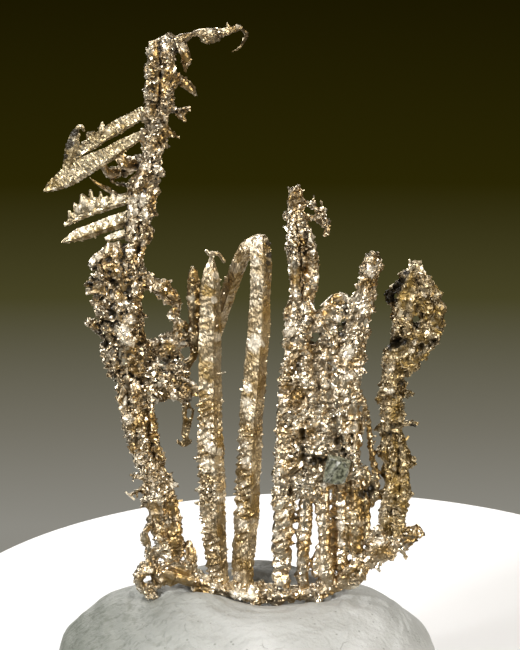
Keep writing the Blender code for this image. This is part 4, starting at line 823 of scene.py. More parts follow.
crustWeb = lookOf(crust, swell=-0.06, run=0.9, ledges=(0.6, 0.14, 0.35), facets=(0.2, 0.05),
    creases=(0.32, 0.09), brown=0.18, crowd=0.7, grains=(0.14, 0.07, 0.32, 6),
    grooves=[
        [(302, 2405, 11, 16), (292, 2300, 11, 13)], [17, 16, (281, 2042), (292, 1995)],
        [(308, 1656, 14, 20), (314, 1528, 22, 26), (319, 1375, 22, 20)],
        [(550, 2346, 14, 17), (533, 2212, 14, 17), (512, 2124, 11, 13)],
        [(506, 1609, 14, 20), (500, 1551, 17, 26)], [(578, 1645, 11, 10), (578, 1422, 14, 13)],
        [(633, 1773, 10, 13), (633, 1586, 11, 20), (638, 1399, 14, 20)],
        [(346, 1481, 17, 26), (412, 1451, 22, 30), (490, 1475, 22, 30)],
        [8, 13, (440, 2358), (506, 2346), (572, 2335)],
        [(193, 1896, 17, 13), (242, 1890, 22, 16), (297, 1908, 17, 13)],
        [(522, 1609, 14, 20), (545, 1516, 17, 26), (561, 1446, 17, 20)]],
    smooth=[(605, 1750, 44, 90), (605, 1645, 39, 90), (605, 1551, 33, 90), (258, 2346, 39, 90),
        (341, 2335, 33, 80), (462, 2346, 44, 60), (555, 2025, 39, 90), (545, 1914, 33, 80),
        (209, 2112, 33, 80), (253, 2142, 28, 60), (693, 2475, 33, 90), (715, 2405, 28, 90),
        (297, 2112, 22, 70), (231, 1434, 28, 70), (495, 2423, 22, 70)],
    stems=[
        [(275, 2382, 33), (258, 2300, 33), (248, 2230, 39), (225, 2142, 28), (237, 2077, 28), (220, 1995, 33),
         (215, 1890, 39), (209, 1791, 39), (204, 1674, 39), (198, 1557, 39), (198, 1440, 44), (198, 1352, 49),
         (193, 1270, 52), (193, 1223, 49)],
        [28, (341, 2405), (341, 2317), (314, 2230), (319, 2142), (341, 2066)],
        [(358, 2329, 22), (396, 2276, 22), (440, 2212, 25), (473, 2142, 28)],
        [(418, 2335, 17), (451, 2387, 17), (484, 2423, 17), (522, 2440, 17), (555, 2417, 17),
         (583, 2382, 19)],
        [22, (407, 2311), (473, 2300), (533, 2311)],
        [(671, 2499, 39), (660, 2405, 44), (638, 2317, 44), (616, 2230, 44), (583, 2136, 44), (561, 2054, 39),
         (550, 1960, 39), (550, 1867, 39)],
        [28, (429, 2101), (418, 2007), (418, 1908), (418, 1808), (407, 1703)],
        [(495, 2054, 28), (495, 1960, 28), (495, 1855, 28), (506, 1750, 28), (528, 1645, 33),
         (550, 1551, 33)],
        [(600, 1849, 22), (605, 1732, 22), (605, 1615, 28), (600, 1498, 28), (594, 1411, 28)],
        [22, (325, 1674), (341, 1586), (358, 1498)], [17, (363, 1516), (418, 1516), (473, 1528), (517, 1516)],
        [(418, 1434, 17), (440, 1387, 19)], [(314, 1364, 28), (363, 1340, 28), (407, 1305, 22)],
        [(385, 1411, 14), (412, 1352, 17), (434, 1294, 17)], [(319, 1364, 33), (325, 1282, 36)],
        [(434, 1329, 28), (434, 1235, 30)], [33, (522, 1457), (522, 1329)],
        [(275, 1340, 28), (275, 1258, 22), (275, 1188, 14)], [(374, 1329, 28), (374, 1270, 22)],
        [39, (605, 1434), (611, 1317)]],
    soot=[(302, 2592, 11, 90), (308, 2534, 11, 90), (286, 2025, 19, 95), (253, 1896, 28, 60),
        # painted shadow: the soot spots down x 3.1 to 3.3 mm, from z 16.6 to 13.9, darken the gap between the
        # columns
        (286, 1908, 17, 80), (209, 1884, 17, 40), (308, 1656, 17, 93), (319, 1598, 25, 93),
        (325, 1533, 33, 93), (325, 1463, 36, 93), (369, 1457, 28, 100), (412, 1463, 22, 100),
        (457, 1475, 22, 100), (325, 1393, 30, 93), (297, 1317, 14, 100), (479, 1411, 11, 100),
        (495, 1516, 17, 95), (533, 1510, 17, 90), (567, 1457, 17, 70), (545, 2323, 11, 100),
        (539, 2265, 12, 100), (528, 2206, 12, 100), (512, 2148, 11, 80), (407, 2206, 17, 100),
        (506, 1820, 8, 80), (495, 1732, 8, 80), (633, 1645, 8, 100), (633, 1528, 9, 100), (638, 1422, 9, 100),
        (281, 2142, 8, 80), (297, 1820, 8, 70), (302, 1732, 8, 80), (225, 2101, 11, 70), (352, 2077, 11, 80),
        (473, 2346, 8, 70), (495, 2399, 28, 80), (396, 1691, 17, 40), (424, 1645, 14, 50),
        (533, 1598, 14, 80), (440, 1919, 17, 40), (379, 1843, 17, 50), (325, 2042, 11, 70),
        (429, 1264, 17, 80)],
    browned=[(385, 2311, 28, 50), (385, 2142, 22, 80), (429, 2025, 33, 35), (693, 2405, 28, 60),
        (231, 2136, 22, 60), (231, 1633, 33, 50), (209, 1528, 33, 30), (627, 1820, 28, 50),
        (462, 2341, 17, 60), (495, 2399, 44, 100)],
    bright=[(248, 2235, 41, 100), (555, 2101, 44, 100), (643, 2346, 28, 50), (451, 1908, 28, 60),
        (572, 1966, 33, 50), (434, 1656, 33, 60), (385, 1557, 17, 80), (561, 1633, 22, 80),
        (600, 1645, 28, 50), (429, 1317, 22, 90), (545, 1832, 28, 50)])
crustWeb["stems"] += ribRows((2.31, 17.50), (2.20, 14.11), 6, 0.5, 0.16, 0.19)
crustWeb["stems"] += ribRows((3.96, 16.74), (4.07, 15.51), 3, 0.65, 0.24, 0.17)

tallColumn = lookOf(crust, swell=-0.05, ledges=(0.45, 0.08, 0.3), pits=1.0, grains=(0.13, 0.07, 0.28, 7),
    grooves=[
        [(275, 2885, 7, 7), (292, 2756, 7, 16), (302, 2627, 8, 29), (308, 2510, 8, 29), (308, 2405, 8, 26)],
        [14, 20, (220, 3054), (253, 3054)]],
    stems=[
        [(258, 3037, 22), (248, 2967, 22), (253, 2885, 25), (258, 2785, 25), (269, 2698, 25), (275, 2592, 25),
         (281, 2487, 28), (281, 2417, 28)],
        [(308, 2908, 14), (330, 2838, 19), (352, 2768, 25), (369, 2686, 25), (374, 2592, 25), (374, 2499, 25),
         (358, 2423, 22)],
        [(407, 2990, 10), (424, 2932, 10), (434, 2885, 9), (457, 2861, 9)]],
    soot=[(237, 3049, 14, 90), (264, 2984, 44, 75), (302, 2616, 7, 90), (302, 2569, 7, 90),
        (308, 2522, 7, 90), (308, 2452, 7, 70), (258, 2861, 8, 50), (275, 2779, 8, 50), (292, 2698, 8, 60),
        (385, 2616, 8, 50)],
    smooth=[(269, 2569, 39, 95), (269, 2493, 39, 95), (275, 2417, 33, 80), (330, 2551, 33, 95),
        (330, 2464, 33, 95), (319, 2662, 22, 80), (346, 2838, 22, 70)],
    browned=[(264, 2990, 44, 80), (302, 2744, 39, 85), (335, 2674, 22, 70), (325, 2592, 22, 50),
        (325, 2493, 28, 50), (264, 2528, 33, 80), (396, 2861, 22, 50)],
    bright=[(248, 2616, 14, 100), (363, 2680, 17, 100), (352, 2756, 14, 70), (269, 2440, 18, 100),
        (390, 2534, 17, 100)])

thumbColumn = lookOf(crust, swell=-0.06, grains=(0.13, 0.07, 0.26, 8),
    smooth=[(726, 2493, 28, 60)],
    stems=[
        [(693, 2674, 22), (682, 2627, 28), (676, 2580, 33), (660, 2522, 33)],
        [(715, 2662, 17), (732, 2616, 17), (715, 2569, 22), (693, 2510, 22)],
        [(638, 2604, 17), (638, 2557, 17), (627, 2499, 22)]],
    soot=[(693, 2662, 11, 60), (693, 2610, 9, 90)],
    browned=[(638, 2627, 28, 50), (726, 2534, 28, 60)],
    bright=[(682, 2575, 33, 100)])

# The thick column at the right with its crystal head

headColumn = lookOf(crust, metal="head silver", swell=-0.08, ledges=(0.45, 0.08, 0.3),
    grains=(0.13, 0.06, 0.24, 9), brown=0.4,
    grooves=[
        [(770, 2159, 33, 39), (830, 2148, 39, 45), (880, 2165, 22, 33)],
        [(952, 2118, 22, 33), (1029, 2159, 25, 33)], [19, 26, (1084, 2288), (1084, 2200)],
        [11, 23, (940, 2522), (940, 2417)], [(797, 1843, 14, 23), (847, 1849, 14, 20)],
        [14, 23, (775, 1662), (847, 1674)], [14, 23, (759, 1621), (847, 1604)],
        [8, 13, (781, 1539), (787, 1352)], [8, 16, (842, 1551), (847, 1282)],
        [14, 20, (935, 2370), (968, 2300)], [11, 16, (1012, 2428), (1029, 2346)],
        [11, 13, (825, 2311), (869, 2206)]],
    smooth=[(886, 2522, 44, 70), (858, 2393, 33, 60), (759, 1469, 33, 80), (765, 1323, 39, 90),
        (836, 1422, 33, 60), (836, 1294, 33, 60), (902, 2405, 28, 50)],
    stems=[
        [(803, 1305, 33), (781, 1212, 39), (770, 1130, 44), (781, 1060, 44)],
        [(858, 1294, 39), (853, 1206, 44), (847, 1118, 44), (842, 1036, 39)],
        [(858, 1914, 19), (886, 1914, 17)], [(880, 1843, 22), (919, 1855, 19)],
        [(891, 1680, 22), (924, 1674, 22), (946, 1680, 14)],
        [(913, 2616, 22), (896, 2551, 28), (874, 2475, 33), (853, 2405, 33), (842, 2323, 33), (836, 2241, 28),
         (825, 2206, 22)],
        [(924, 2627, 17), (962, 2592, 17), (990, 2545, 17), (1018, 2493, 19), (1051, 2440, 19),
         (1056, 2358, 22), (1072, 2288, 22), (1072, 2218, 22), (1045, 2159, 22), (1006, 2112, 22),
         (962, 2072, 22)],
        [14, (946, 2493), (990, 2510), (1018, 2469), (1001, 2423), (957, 2423), (940, 2464)],
        [(913, 2405, 22), (902, 2335, 19), (891, 2253, 22), (929, 2206, 22), (979, 2206, 22),
         (1034, 2206, 22)],
        [(803, 2194, 11), (847, 2194, 12), (891, 2183, 14)],
        [(929, 2153, 22), (907, 2107, 25), (869, 2077, 28), (825, 2066, 28), (803, 2019, 39)],
        [(858, 2031, 22), (891, 2007, 28), (902, 1960, 19)],
        [(797, 1984, 44), (797, 1908, 44), (803, 1832, 44), (803, 1750, 44), (797, 1680, 39)],
        [33, (858, 1586), (863, 1498), (869, 1411), (874, 1323), (869, 1235)],
        [28, (803, 1551), (809, 1481), (809, 1411)],
        [(797, 1411, 11), (781, 1352, 12), (765, 1294, 14), (737, 1247, 14), (709, 1223, 11)],
        [17, (973, 2405), (985, 2346), (1001, 2276)]],
    soot=[(792, 2423, 49, 100), (765, 2452, 33, 100), (830, 2475, 33, 100), (858, 2516, 33, 100),
        (880, 2563, 22, 100), (891, 2598, 17, 90), (836, 2148, 39, 100), (869, 2159, 22, 100),
        (797, 2136, 28, 100), (979, 2136, 33, 85), (1018, 2153, 28, 85), (962, 2095, 22, 85),
        (1084, 2247, 28, 85), (858, 1919, 14, 100), (814, 1843, 17, 90), (902, 1843, 28, 85),
        (809, 1662, 22, 90), (836, 1674, 17, 90), (924, 1662, 22, 100), (797, 1621, 22, 95),
        (825, 1615, 17, 90), (759, 1633, 17, 70), (979, 2464, 17, 80), (935, 2464, 11, 80),
        (946, 2563, 14, 60), (1023, 2382, 22, 50), (957, 2335, 17, 50), (1056, 2259, 33, 40),
        (770, 1264, 22, 60), (919, 2306, 17, 50), (765, 1147, 22, 70), (1012, 2423, 14, 70)],
    browned=[(1012, 2346, 60, 80), (1056, 2247, 49, 90), (858, 2428, 44, 90), (809, 1118, 44, 50),
        (792, 1411, 39, 60), (759, 1492, 33, 85), (759, 1352, 33, 90), (830, 1282, 39, 80),
        (726, 1820, 17, 80), (726, 1703, 19, 80), (742, 1598, 22, 80), (990, 2066, 33, 70),
        (820, 1469, 39, 45)],
    bright=[(874, 2311, 25, 80), (929, 2159, 17, 100), (913, 2112, 17, 100), (797, 1873, 22, 100),
        (797, 2001, 22, 70), (809, 2411, 14, 80), (985, 2580, 14, 80), (825, 1411, 17, 70),
        (985, 2434, 11, 90)])

# The low crest along the putty

rootRidge = lookOf(crust, swell=-0.03, brown=0.3, reach=(0.1, 0.1), crowd=0.6, grains=(0.14, 0.07, 0.3, 10),
    grooves=[
        [(-528, 779, 14, 20), (-495, 720, 17, 20)], [7, 10, (-330, 972), (-319, 872)],
        [8, 10, (-385, 814), (-407, 708)], [11, 13, (-275, 826), (-253, 708)],
        [8, 13, (-132, 755), (-99, 650)]],
    smooth=[(-407, 779, 77, 97), (-341, 732, 55, 95), (-253, 720, 55, 80), (-308, 907, 39, 80),
        (-116, 697, 33, 40), (583, 837, 44, 50), (-550, 1001, 22, 50), (924, 1036, 33, 60)],
    stems=[
        [(-517, 814, 28), (-567, 796, 28), (-594, 755, 25), (-578, 697, 22), (-539, 662, 22),
         (-495, 650, 17)],
        [(-550, 1071, 14), (-561, 1024, 17), (-539, 972, 17), (-545, 907, 17), (-550, 849, 19)],
        [(-506, 931, 10), (-490, 872, 11), (-490, 814, 12)],
        [(-451, 802, 28), (-385, 779, 33), (-308, 755, 33), (-231, 732, 28), (-154, 708, 28)],
        [(-314, 983, 14), (-319, 925, 22), (-319, 855, 25)], [(-281, 931, 11), (-286, 872, 17)],
        [(-275, 802, 17), (-220, 755, 22), (-165, 720, 28), (-99, 685, 28), (-33, 662, 28), (33, 650, 22)],
        [(55, 708, 14), (66, 662, 17)],
        [(517, 767, 28), (583, 826, 33), (649, 884, 33), (715, 943, 33), (770, 972, 33)],
        [(759, 1060, 22), (737, 1001, 28), (704, 931, 28)],
        [(671, 978, 28), (704, 1030, 22), (742, 1065, 22)],
        [(825, 931, 22), (880, 954, 22), (924, 1001, 22), (940, 1060, 17)], [17, (781, 907), (814, 872)],
        [(853, 966, 22), (874, 925, 17), (886, 884, 11)]],
    soot=[(-528, 738, 22, 60), (-462, 749, 17, 60), (-550, 972, 11, 60), (-528, 872, 11, 70),
        # painted shadow: the soot spots at x -4.84 and -4.34 mm darken the underside of the ridge where it
        # arches over the putty
        (891, 1036, 22, 70), (902, 989, 49, 94), (-555, 744, 49, 90), (-484, 679, 28, 95),
        (-434, 691, 22, 90), (-308, 697, 28, 30), (-275, 826, 11, 70), (-225, 662, 14, 60),
        (605, 855, 14, 60), (-308, 954, 11, 50)],
    browned=[(-363, 720, 49, 60), (-253, 673, 44, 70), (583, 826, 33, 40), (907, 995, 49, 100),
        (-550, 972, 28, 60), (-555, 755, 49, 70), (-297, 884, 28, 50), (-528, 697, 33, 50)],
    bright=[(-533, 808, 17, 100), (-132, 732, 28, 90), (-39, 668, 49, 100), (22, 662, 39, 100),
        (737, 989, 33, 80), (-176, 708, 28, 60), (-220, 767, 22, 60), (638, 913, 22, 60)])

# The leg and rods under the crust, and the thin rod beside them

columnFoot = lookOf(crust, swell=-0.02, ledges=(0.7, 0.26, 0.42), creases=(0.4, 0.03), facets=(0.3, 0.03),
    lumps=(0.8, 0.02), brown=0.30, sideBrown=0.45, bare=0.05, crowd=0.3, grains=(0.16, 0.08, 0.22, 11),
    soot=[(281, 1200, 17, 60)],
    browned=[(209, 779, 44, 50), (209, 1282, 22, 40)],
    bright=[(193, 1229, 22, 70), (209, 1141, 28, 60), (165, 1030, 22, 80), (198, 1001, 22, 50)])

footRod = lookOf(crust, voxel=0.06, swell=0.0, thin=0.35, lumps=(0.45, 0.03), creases=(0.4, 0.04),
    facets=(0.3, 0.05), ledges=(0.5, 0.1, 0.3), sideBrown=0.5, brown=0.34, crowd=0.3,
    grains=(0.16, 0.07, 0.2, 12))

footRods = {
    "foot_rod_1": lookOf(footRod,
        stems=[
            [(325, 1329, 30), (325, 1235, 33), (325, 1089, 33), (319, 943, 33), (314, 738, 33)],
            [(346, 1305, 25), (346, 1177, 22), (344, 1060, 22), (335, 943, 22)]],
        bright=[(308, 1147, 17, 70), (314, 1001, 17, 60), (302, 855, 17, 60)]),
    "foot_rod_2": lookOf(footRod,
        stems=[
            [(429, 1329, 28), (434, 1235, 30), (434, 1118, 30), (434, 972, 33), (446, 855, 41),
             (451, 767, 44)],
            [(407, 1305, 28), (407, 1200, 25), (412, 1089, 22)],
            [(407, 954, 19), (390, 872, 25), (385, 790, 28)]],
        bright=[(418, 1118, 17, 60), (412, 796, 22, 70)],
        browned=[(467, 1001, 22, 80), (473, 1206, 22, 70)]),
    "foot_rod_3": lookOf(footRod,
        stems=[
            [(528, 1364, 28), (528, 1235, 30), (528, 1089, 30), (528, 943, 30), (522, 826, 33)],
            [(495, 1329, 22), (495, 1177, 22), (495, 1001, 22), (495, 855, 28)]],
        soot=[(495, 1235, 14, 80), (495, 1118, 14, 80), (495, 1001, 14, 80), (490, 884, 14, 80)],
        bright=[(533, 972, 22, 100), (528, 1077, 33, 100), (533, 1206, 17, 70)]),
    "foot_rod_4": lookOf(footRod, metal="bronzed silver", slot="bronzed_silver", brown=0.45,
        stems=[
            [33, (611, 1364), (611, 1235), (611, 1089), (605, 943)],
            [22, (567, 1317), (567, 1147), (561, 943)], [28, (654, 1235), (666, 1118), (660, 989)]],
        soot=[(572, 1235, 9, 70), (572, 1118, 9, 70), (572, 1001, 9, 70), (638, 1258, 28, 95)],
        bright=[(633, 1089, 22, 40)]),
    "outer_rod": lookOf(footRod, metal="bronzed silver", slot="bronzed_silver", brown=0.4,
        smooth=[(660, 1645, 44, 80), (666, 1498, 44, 80)],
        stems=[
            [(649, 1253, 28), (693, 1241, 28), (737, 1258, 22)], [(693, 1235, 22), (693, 1200, 17)],
            [(660, 1411, 22), (666, 1329, 28)]],
        soot=[(660, 1253, 44, 100), (693, 1294, 28, 100)],
        browned=[(660, 1645, 33, 90), (666, 1557, 33, 90), (671, 1469, 33, 70)]),
}

crustPieces = {
    "lower_trunk": lowerTrunk, "knobby_trunk": knobbyTrunk, "upper_trunk": upperTrunk, "wire_nest": wireNest,
    "crust_web": crustWeb, "tall_column": tallColumn, "thumb_column": thumbColumn, "head_column": headColumn,
    "root_ridge": rootRidge, "column_foot": columnFoot, **footRods}


# Straight wires: four-sided bars with a ridge down the front and slanting ledges on the left face

wide, up = Vector((1.0, 0.0, 0.0)), Vector((0.0, 0.0, 1.0))


def sweepBar(bm, rows, profile, look):
    # a profile is the way the width lies, how far its front ridge is off the middle, and its depth
    sideways, ridge, depth = profile
    path = smoothRows(rows, look["step"])
    places = [realPlace(x, z, y) for x, z, y, width in path]
    frames = []
    for place, before, after, row in zip(places, places[:1] + places, places[1:] + places[-1:], path):
        along = (after - before).normalized()
        side = (sideways - along * along.dot(sideways)).normalized()
        back = along.cross(side)
        if back.y < 0.0:
            back = -back
        turn = Matrix((side * row[3], back * row[3] * depth, along)).transposed()
        frames.append(Matrix.Translation(place) @ turn.to_4x4())
    ring = bmesh.ops.create_circle(bm, segments=4, radius=1.0)["verts"]
    corners = ((-1.0, 0.0, 0.0), (ridge, -1.0, 0.0), (1.0, 0.0, 0.0), (-ridge, 1.0, 0.0))
    for vertex, corner in zip(ring, corners):
        vertex.co = corner
    edges = list(dict.fromkeys(edge for vertex in ring for edge in vertex.link_edges))
    made = bmesh.ops.subdivide_edges(bm, edges=edges, cuts=look["cuts"])
    first = edges = [item for item in made["geom"] if isinstance(item, bmesh.types.BMEdge)]
    verts = list(dict.fromkeys(vertex for edge in edges for vertex in edge.verts))
    bmesh.ops.transform(bm, matrix=frames[0], verts=verts)
    for before, after in zip(frames, frames[1:]):
        made = bmesh.ops.extrude_edge_only(bm, edges=edges)["geom"]
        edges = [item for item in made if isinstance(item, bmesh.types.BMEdge) and item.is_boundary]
        verts = [item for item in made if isinstance(item, bmesh.types.BMVert)]
        bmesh.ops.transform(bm, matrix=after @ before.inverted(), verts=verts)
    for loop in (first, edges):
        bmesh.ops.edgeloop_fill(bm, edges=loop)


barSkin = {
    "waves": 0.9, "streaks": 0.25, "fade": (1.5, 3.0),              # sizes of waves and streaks
    "patches": (1.1, (3.0, 1.0, 7.0)), "broken": (0.25, 0.75), "side": (0.35, 0.65),
}


def barHeight(place, normal, look):
    height = look["waves"] * cloud(place, barSkin["waves"])
    height += look["streaks"] * (2.0 * abs(cloud(place, barSkin["streaks"])) - 0.4)
    pitch, rise, slope, top = look["ledges"]
    below, above = barSkin["fade"]
    strength = max(1.0 - smoothStep(top - below, top + above, place.z), look["ledgesAbove"])
    least, more = barSkin["broken"]
    strength *= least + more * smoothStep(-0.25, 0.15, cloud(place, *barSkin["patches"]))
    if look["oneSided"]:
        least, more = barSkin["side"]
        strength *= least + more * smoothStep(0.1, 0.6, -normal.x)
    sine, cosine = look["axis"]
    turned = Vector((place.x * cosine - place.z * sine, place.y, place.z * cosine + place.x * sine))
    return height + rise * strength * (ledgeHeight(turned, pitch, slope) - 0.6)


def sortFaces(bm):
    # extruding leaves the faces in no fixed order, and the grains are strewn face by face
    bm.verts.index_update()
    count = len(bm.verts)
    ends = {face: (min(v.index for v in face.verts), max(v.index for v in face.verts)) for face in bm.faces}
    bm.faces.sort(key=lambda face: ends[face][0] * count + ends[face][1])


def barPiece(node, look):
    bm = bmesh.new()
    for rows, profile in zip(look["bars"], look["profiles"]):
        sweepBar(bm, rows, profile, look)
    sortFaces(bm)
    bmesh.ops.recalc_face_normals(bm, faces=bm.faces)
    bm.normal_update()
    moves = [(vertex, vertex.normal * barHeight(vertex.co, vertex.normal, look)) for vertex in bm.verts]
    for vertex, move in moves:
        vertex.co += move
    if look["twigs"]:
        small = bmesh.new()
        for rows in look["twigs"]:
            addRod(small, [(realPlace(x, z, y), radius) for x, z, y, radius in rows])
        twigs = linkedObject("twigs", small)
        fuse(twigs, look["twigVoxel"], 1)
        bm.from_mesh(twigs.data)
        bpy.data.objects.remove(twigs)
    obj = linkedObject("fine_" + node, bm)
    colourSkin(obj, look)
    sprinkle(obj, *look["grains"])
    dress(obj, [node], metals[look["metal"]])


straight = dict(
    plain, metal="wire silver", slot="silver", cuts=8, step=0.075, waves=0.05, streaks=0.03,
    ledges=(0.46, 0.15, 0.6, 17.5), ledgesAbove=0.12,   # pitch, rise, slope, top, and their strength above it
    axis=(0.0, 1.0),                                    # sine and cosine of the turn of the ledges
    oneSided=True, twigVoxel=0.06, rounds=8, deepest=0.09, brown=0.36, sideBrown=0.45, pits=0.5, patch=0.5,
    bare=0.15, crowd=0.8, crustBelow=(18.5, 3.0), grains=(0.12, 0.05, 0.18, 20))

daggerWire = lookOf(straight, profiles=((wide, 0.3, 0.9),), sideBrown=0.15, ledges=(0.42, 0.22, 0.65, 18.0),
    bare=0.1, crowd=0.5,
    bars=[
        [(-187, 2660, -40, 6), (-190, 2610, -40, 26), (-194, 2550, -40, 44), (-195, 2465, -40, 55),
         (-195, 2290, -40, 60), (-198, 2115, -40, 62), (-198, 1940, -40, 64), (-198, 1760, -40, 66),
         (-196, 1585, -40, 71), (-193, 1440, -40, 73), (-187, 1295, -30, 72), (-185, 1120, -20, 72),
         (-174, 970, -10, 66), (-165, 870, 0, 62), (-150, 710, 0, 56)]],
    twigs=[
        [(-220, 2695, -40, 10), (-200, 2675, -40, 14), (-175, 2678, -40, 13), (-145, 2672, -40, 11),
         (-120, 2630, -40, 12)],
        [(-190, 2670, -40, 12), (-188, 2620, -40, 14)],
        [(-200, 1985, -75, 8), (-150, 1975, -70, 7), (-110, 1982, -60, 5)],
        [(-240, 1800, -50, 12), (-275, 1785, -50, 8)], [(-250, 1480, -50, 16), (-285, 1475, -50, 10)],
        [(-240, 1300, -40, 14), (-280, 1285, -40, 10)], [(-240, 1210, -40, 14), (-280, 1210, -40, 11)]],
    soot=[(-225, 1949, 17, 60), (-187, 1960, 17, 60), (-220, 1861, 28, 30), (-187, 1516, 11, 60),
        (-231, 1165, 22, 50), (-225, 1083, 22, 60), (-215, 2464, 14, 70), (-242, 2464, 11, 60)],
    browned=[(-209, 2452, 44, 80), (-187, 872, 49, 60), (-198, 1949, 33, 70), (-231, 1849, 33, 75),
        (-204, 2259, 49, 50), (-204, 2112, 49, 45), (-209, 2019, 39, 65), (-220, 1791, 39, 60),
        # painted shade: the browned spots at x -1.54 to -1.38 mm brown the right face
        (-231, 2493, 28, 50), (-154, 1645, 22, 30), (-154, 1498, 28, 30), (-143, 1294, 28, 30),
        (-143, 1118, 28, 40), (-138, 972, 28, 60), (-198, 1352, 33, 55), (-165, 2142, 17, 40)],
    bright=[(-176, 2405, 22, 80), (-165, 2551, 22, 60), (-209, 1674, 22, 80), (-204, 1545, 33, 100),
        (-154, 2189, 28, 50), (-149, 1516, 28, 50), (-143, 1247, 33, 40), (-225, 1451, 28, 100),
        (-187, 2311, 17, 60), (-204, 1609, 17, 90)])

hairpinWire = lookOf(straight, profiles=((wide, 0.25, 0.95), (wide, -0.1, 0.9)),
    grains=(0.12, 0.05, 0.18, 21), sideBrown=0.12, ledges=(0.46, 0.24, 0.7, 16.0), crustBelow=(14.5, 3.5),
    crowd=0.4,
    bars=[
        [(77, 2785, 0, 30), (77, 2750, -5, 50), (80, 2700, -10, 56), (83, 2580, -20, 58), (77, 2405, -20, 58),
         (70, 2230, -20, 60), (55, 2055, -20, 62), (44, 1880, -20, 64), (27, 1700, -20, 65),
         (20, 1530, -20, 67), (10, 1350, -20, 68), (5, 1175, -10, 69), (-5, 1000, -10, 66), (-17, 855, 0, 62),
         (-12, 690, 0, 55)],
        [(60, 2765, 10, 30), (10, 2720, 30, 40), (-20, 2660, 50, 42), (-50, 2580, 70, 42),
         (-83, 2490, 90, 43), (-110, 2405, 110, 42), (-143, 2300, 130, 40), (-175, 2180, 150, 36),
         (-205, 2065, 160, 30), (-220, 1990, 160, 18)]],
    soot=[(126, 2738, 25, 96), (129, 2662, 25, 96), (116, 2627, 25, 96), (121, 2580, 22, 85),
        # painted shadow: this row of soot spots darkens the left edge of the front leg
        (-55, 1235, 10, 80), (-49, 1352, 10, 80), (-44, 1469, 10, 80), (-39, 1586, 10, 70),
        (-66, 1118, 10, 80), (-66, 1001, 10, 80), (-66, 884, 10, 70), (49, 2101, 11, 50),
        (121, 2592, 17, 40)],
    # painted shade: the first five browned spots brown the upper leg's right face
    browned=[(121, 2721, 28, 95), (126, 2610, 28, 85), (126, 2493, 28, 75), (121, 2376, 28, 60),
        (110, 2230, 22, 55), (66, 1001, 33, 70), (66, 884, 33, 80), (11, 826, 44, 60), (-55, 2651, 44, 20),
        (-99, 2522, 44, 20), (-132, 2405, 44, 30), (-165, 2288, 44, 60), (66, 1703, 28, 30),
        (55, 1352, 28, 30), (-22, 2651, 44, 60)],
    bright=[(49, 2153, 49, 100), (11, 1890, 28, 100), (6, 1808, 28, 80), (0, 1457, 33, 100),
        (-6, 1557, 22, 80), (55, 2627, 28, 70), (60, 2534, 28, 50), (-66, 2592, 33, 40), (33, 1106, 22, 40),
        (-17, 1329, 22, 70), (-33, 1177, 28, 100), (-17, 1083, 28, 90), (-55, 779, 22, 80)])


def hairpinTeeth():
    # small teeth up the right edge of the front leg
    teeth = []
    for number in range(17):
        z = 22.6 - 0.72 * number
        x = 1.28 - 0.062 * (22.6 - z) + 0.04 * math.sin(7.0 * number)
        tip = x + 0.03 + 0.05 * math.cos(5.0 * number)
        teeth.append([(x - 0.16, z, -0.2, 0.16), (tip, z + 0.05, -0.2, 0.07)])
    return teeth


hairpinWire["twigs"] = hairpinTeeth()

# Leaf-like blades: grained and ribbed along the upper face, smooth and brown below; the bright spots along
# their edges are painted highlight and the browned spots under them painted shade

bladed = lookOf(straight, metal="blade silver", cuts=7, step=0.07, waves=0.04,
    ledges=(0.24, 0.06, 0.25, 99.0), axis=(-0.87, -0.5), oneSided=False, brown=0.12, sideBrown=0.0, bare=0.1,
    patch=0.4, crowd=0.35, crustBelow=(99.0, 1.0), deepest=0.055, pits=1.1, grains=(0.12, 0.05, 0.13, 40))

lanceBlades = lookOf(bladed, profiles=((up, -0.45, 0.7), (up, -0.35, 0.65), (wide, 0.1, 0.7)), brown=0.28,
    bars=[
        [(-530, 3500, 30, 26), (-570, 3485, 30, 34), (-640, 3445, 20, 38), (-705, 3405, 10, 40),
         (-770, 3365, 0, 40), (-830, 3320, -10, 38), (-880, 3285, -20, 28), (-935, 3235, -35, 18)],
        [(-520, 3380, 30, 22), (-570, 3360, 30, 26), (-640, 3320, 20, 34), (-705, 3280, 10, 42),
         (-775, 3235, 0, 48), (-850, 3195, -20, 55), (-925, 3150, -40, 60), (-995, 3105, -50, 52),
         (-1060, 3065, -60, 32), (-1105, 3035, -70, 6)],
        [(-975, 3160, -40, 30), (-950, 3270, -40, 36), (-935, 3340, -40, 30), (-925, 3390, -40, 16)]],
    twigs=[
        [(-930, 3380, -40, 14), (-910, 3410, -40, 13), (-890, 3410, -40, 11), (-882, 3385, -40, 9)],
        [(-790, 3370, 0, 20), (-786, 3405, 0, 16), (-782, 3435, 0, 7)],
        [(-850, 3320, -10, 20), (-860, 3365, -10, 14), (-830, 3375, -10, 10)],
        [(-900, 3260, -30, 12), (-920, 3270, -30, 12), (-940, 3240, -40, 10)],
        [(-870, 3320, -10, 14), (-890, 3310, -20, 12)]],
    soot=[(-935, 3376, 33, 97), (-962, 3306, 39, 96), (-990, 3236, 33, 95), (-1039, 3160, 22, 90),
        (-842, 3388, 17, 80), (-1084, 3072, 11, 70), (-880, 3300, 17, 50)],
    browned=[(-666, 3405, 22, 70), (-732, 3423, 28, 60), (-721, 3364, 17, 70), (-781, 3323, 17, 70),
        (-847, 3271, 17, 70), (-693, 3341, 22, 50), (-990, 3049, 17, 60), (-902, 3089, 17, 60),
        (-803, 3166, 17, 60)],
    bright=[(-660, 3470, 22, 30), (-715, 3440, 22, 15), (-770, 3400, 17, 30), (-1045, 3049, 14, 90),
        (-979, 3066, 14, 90), (-913, 3095, 14, 90), (-847, 3142, 14, 90), (-781, 3195, 14, 80),
        (-704, 3271, 14, 60), (-935, 3341, 14, 50)])

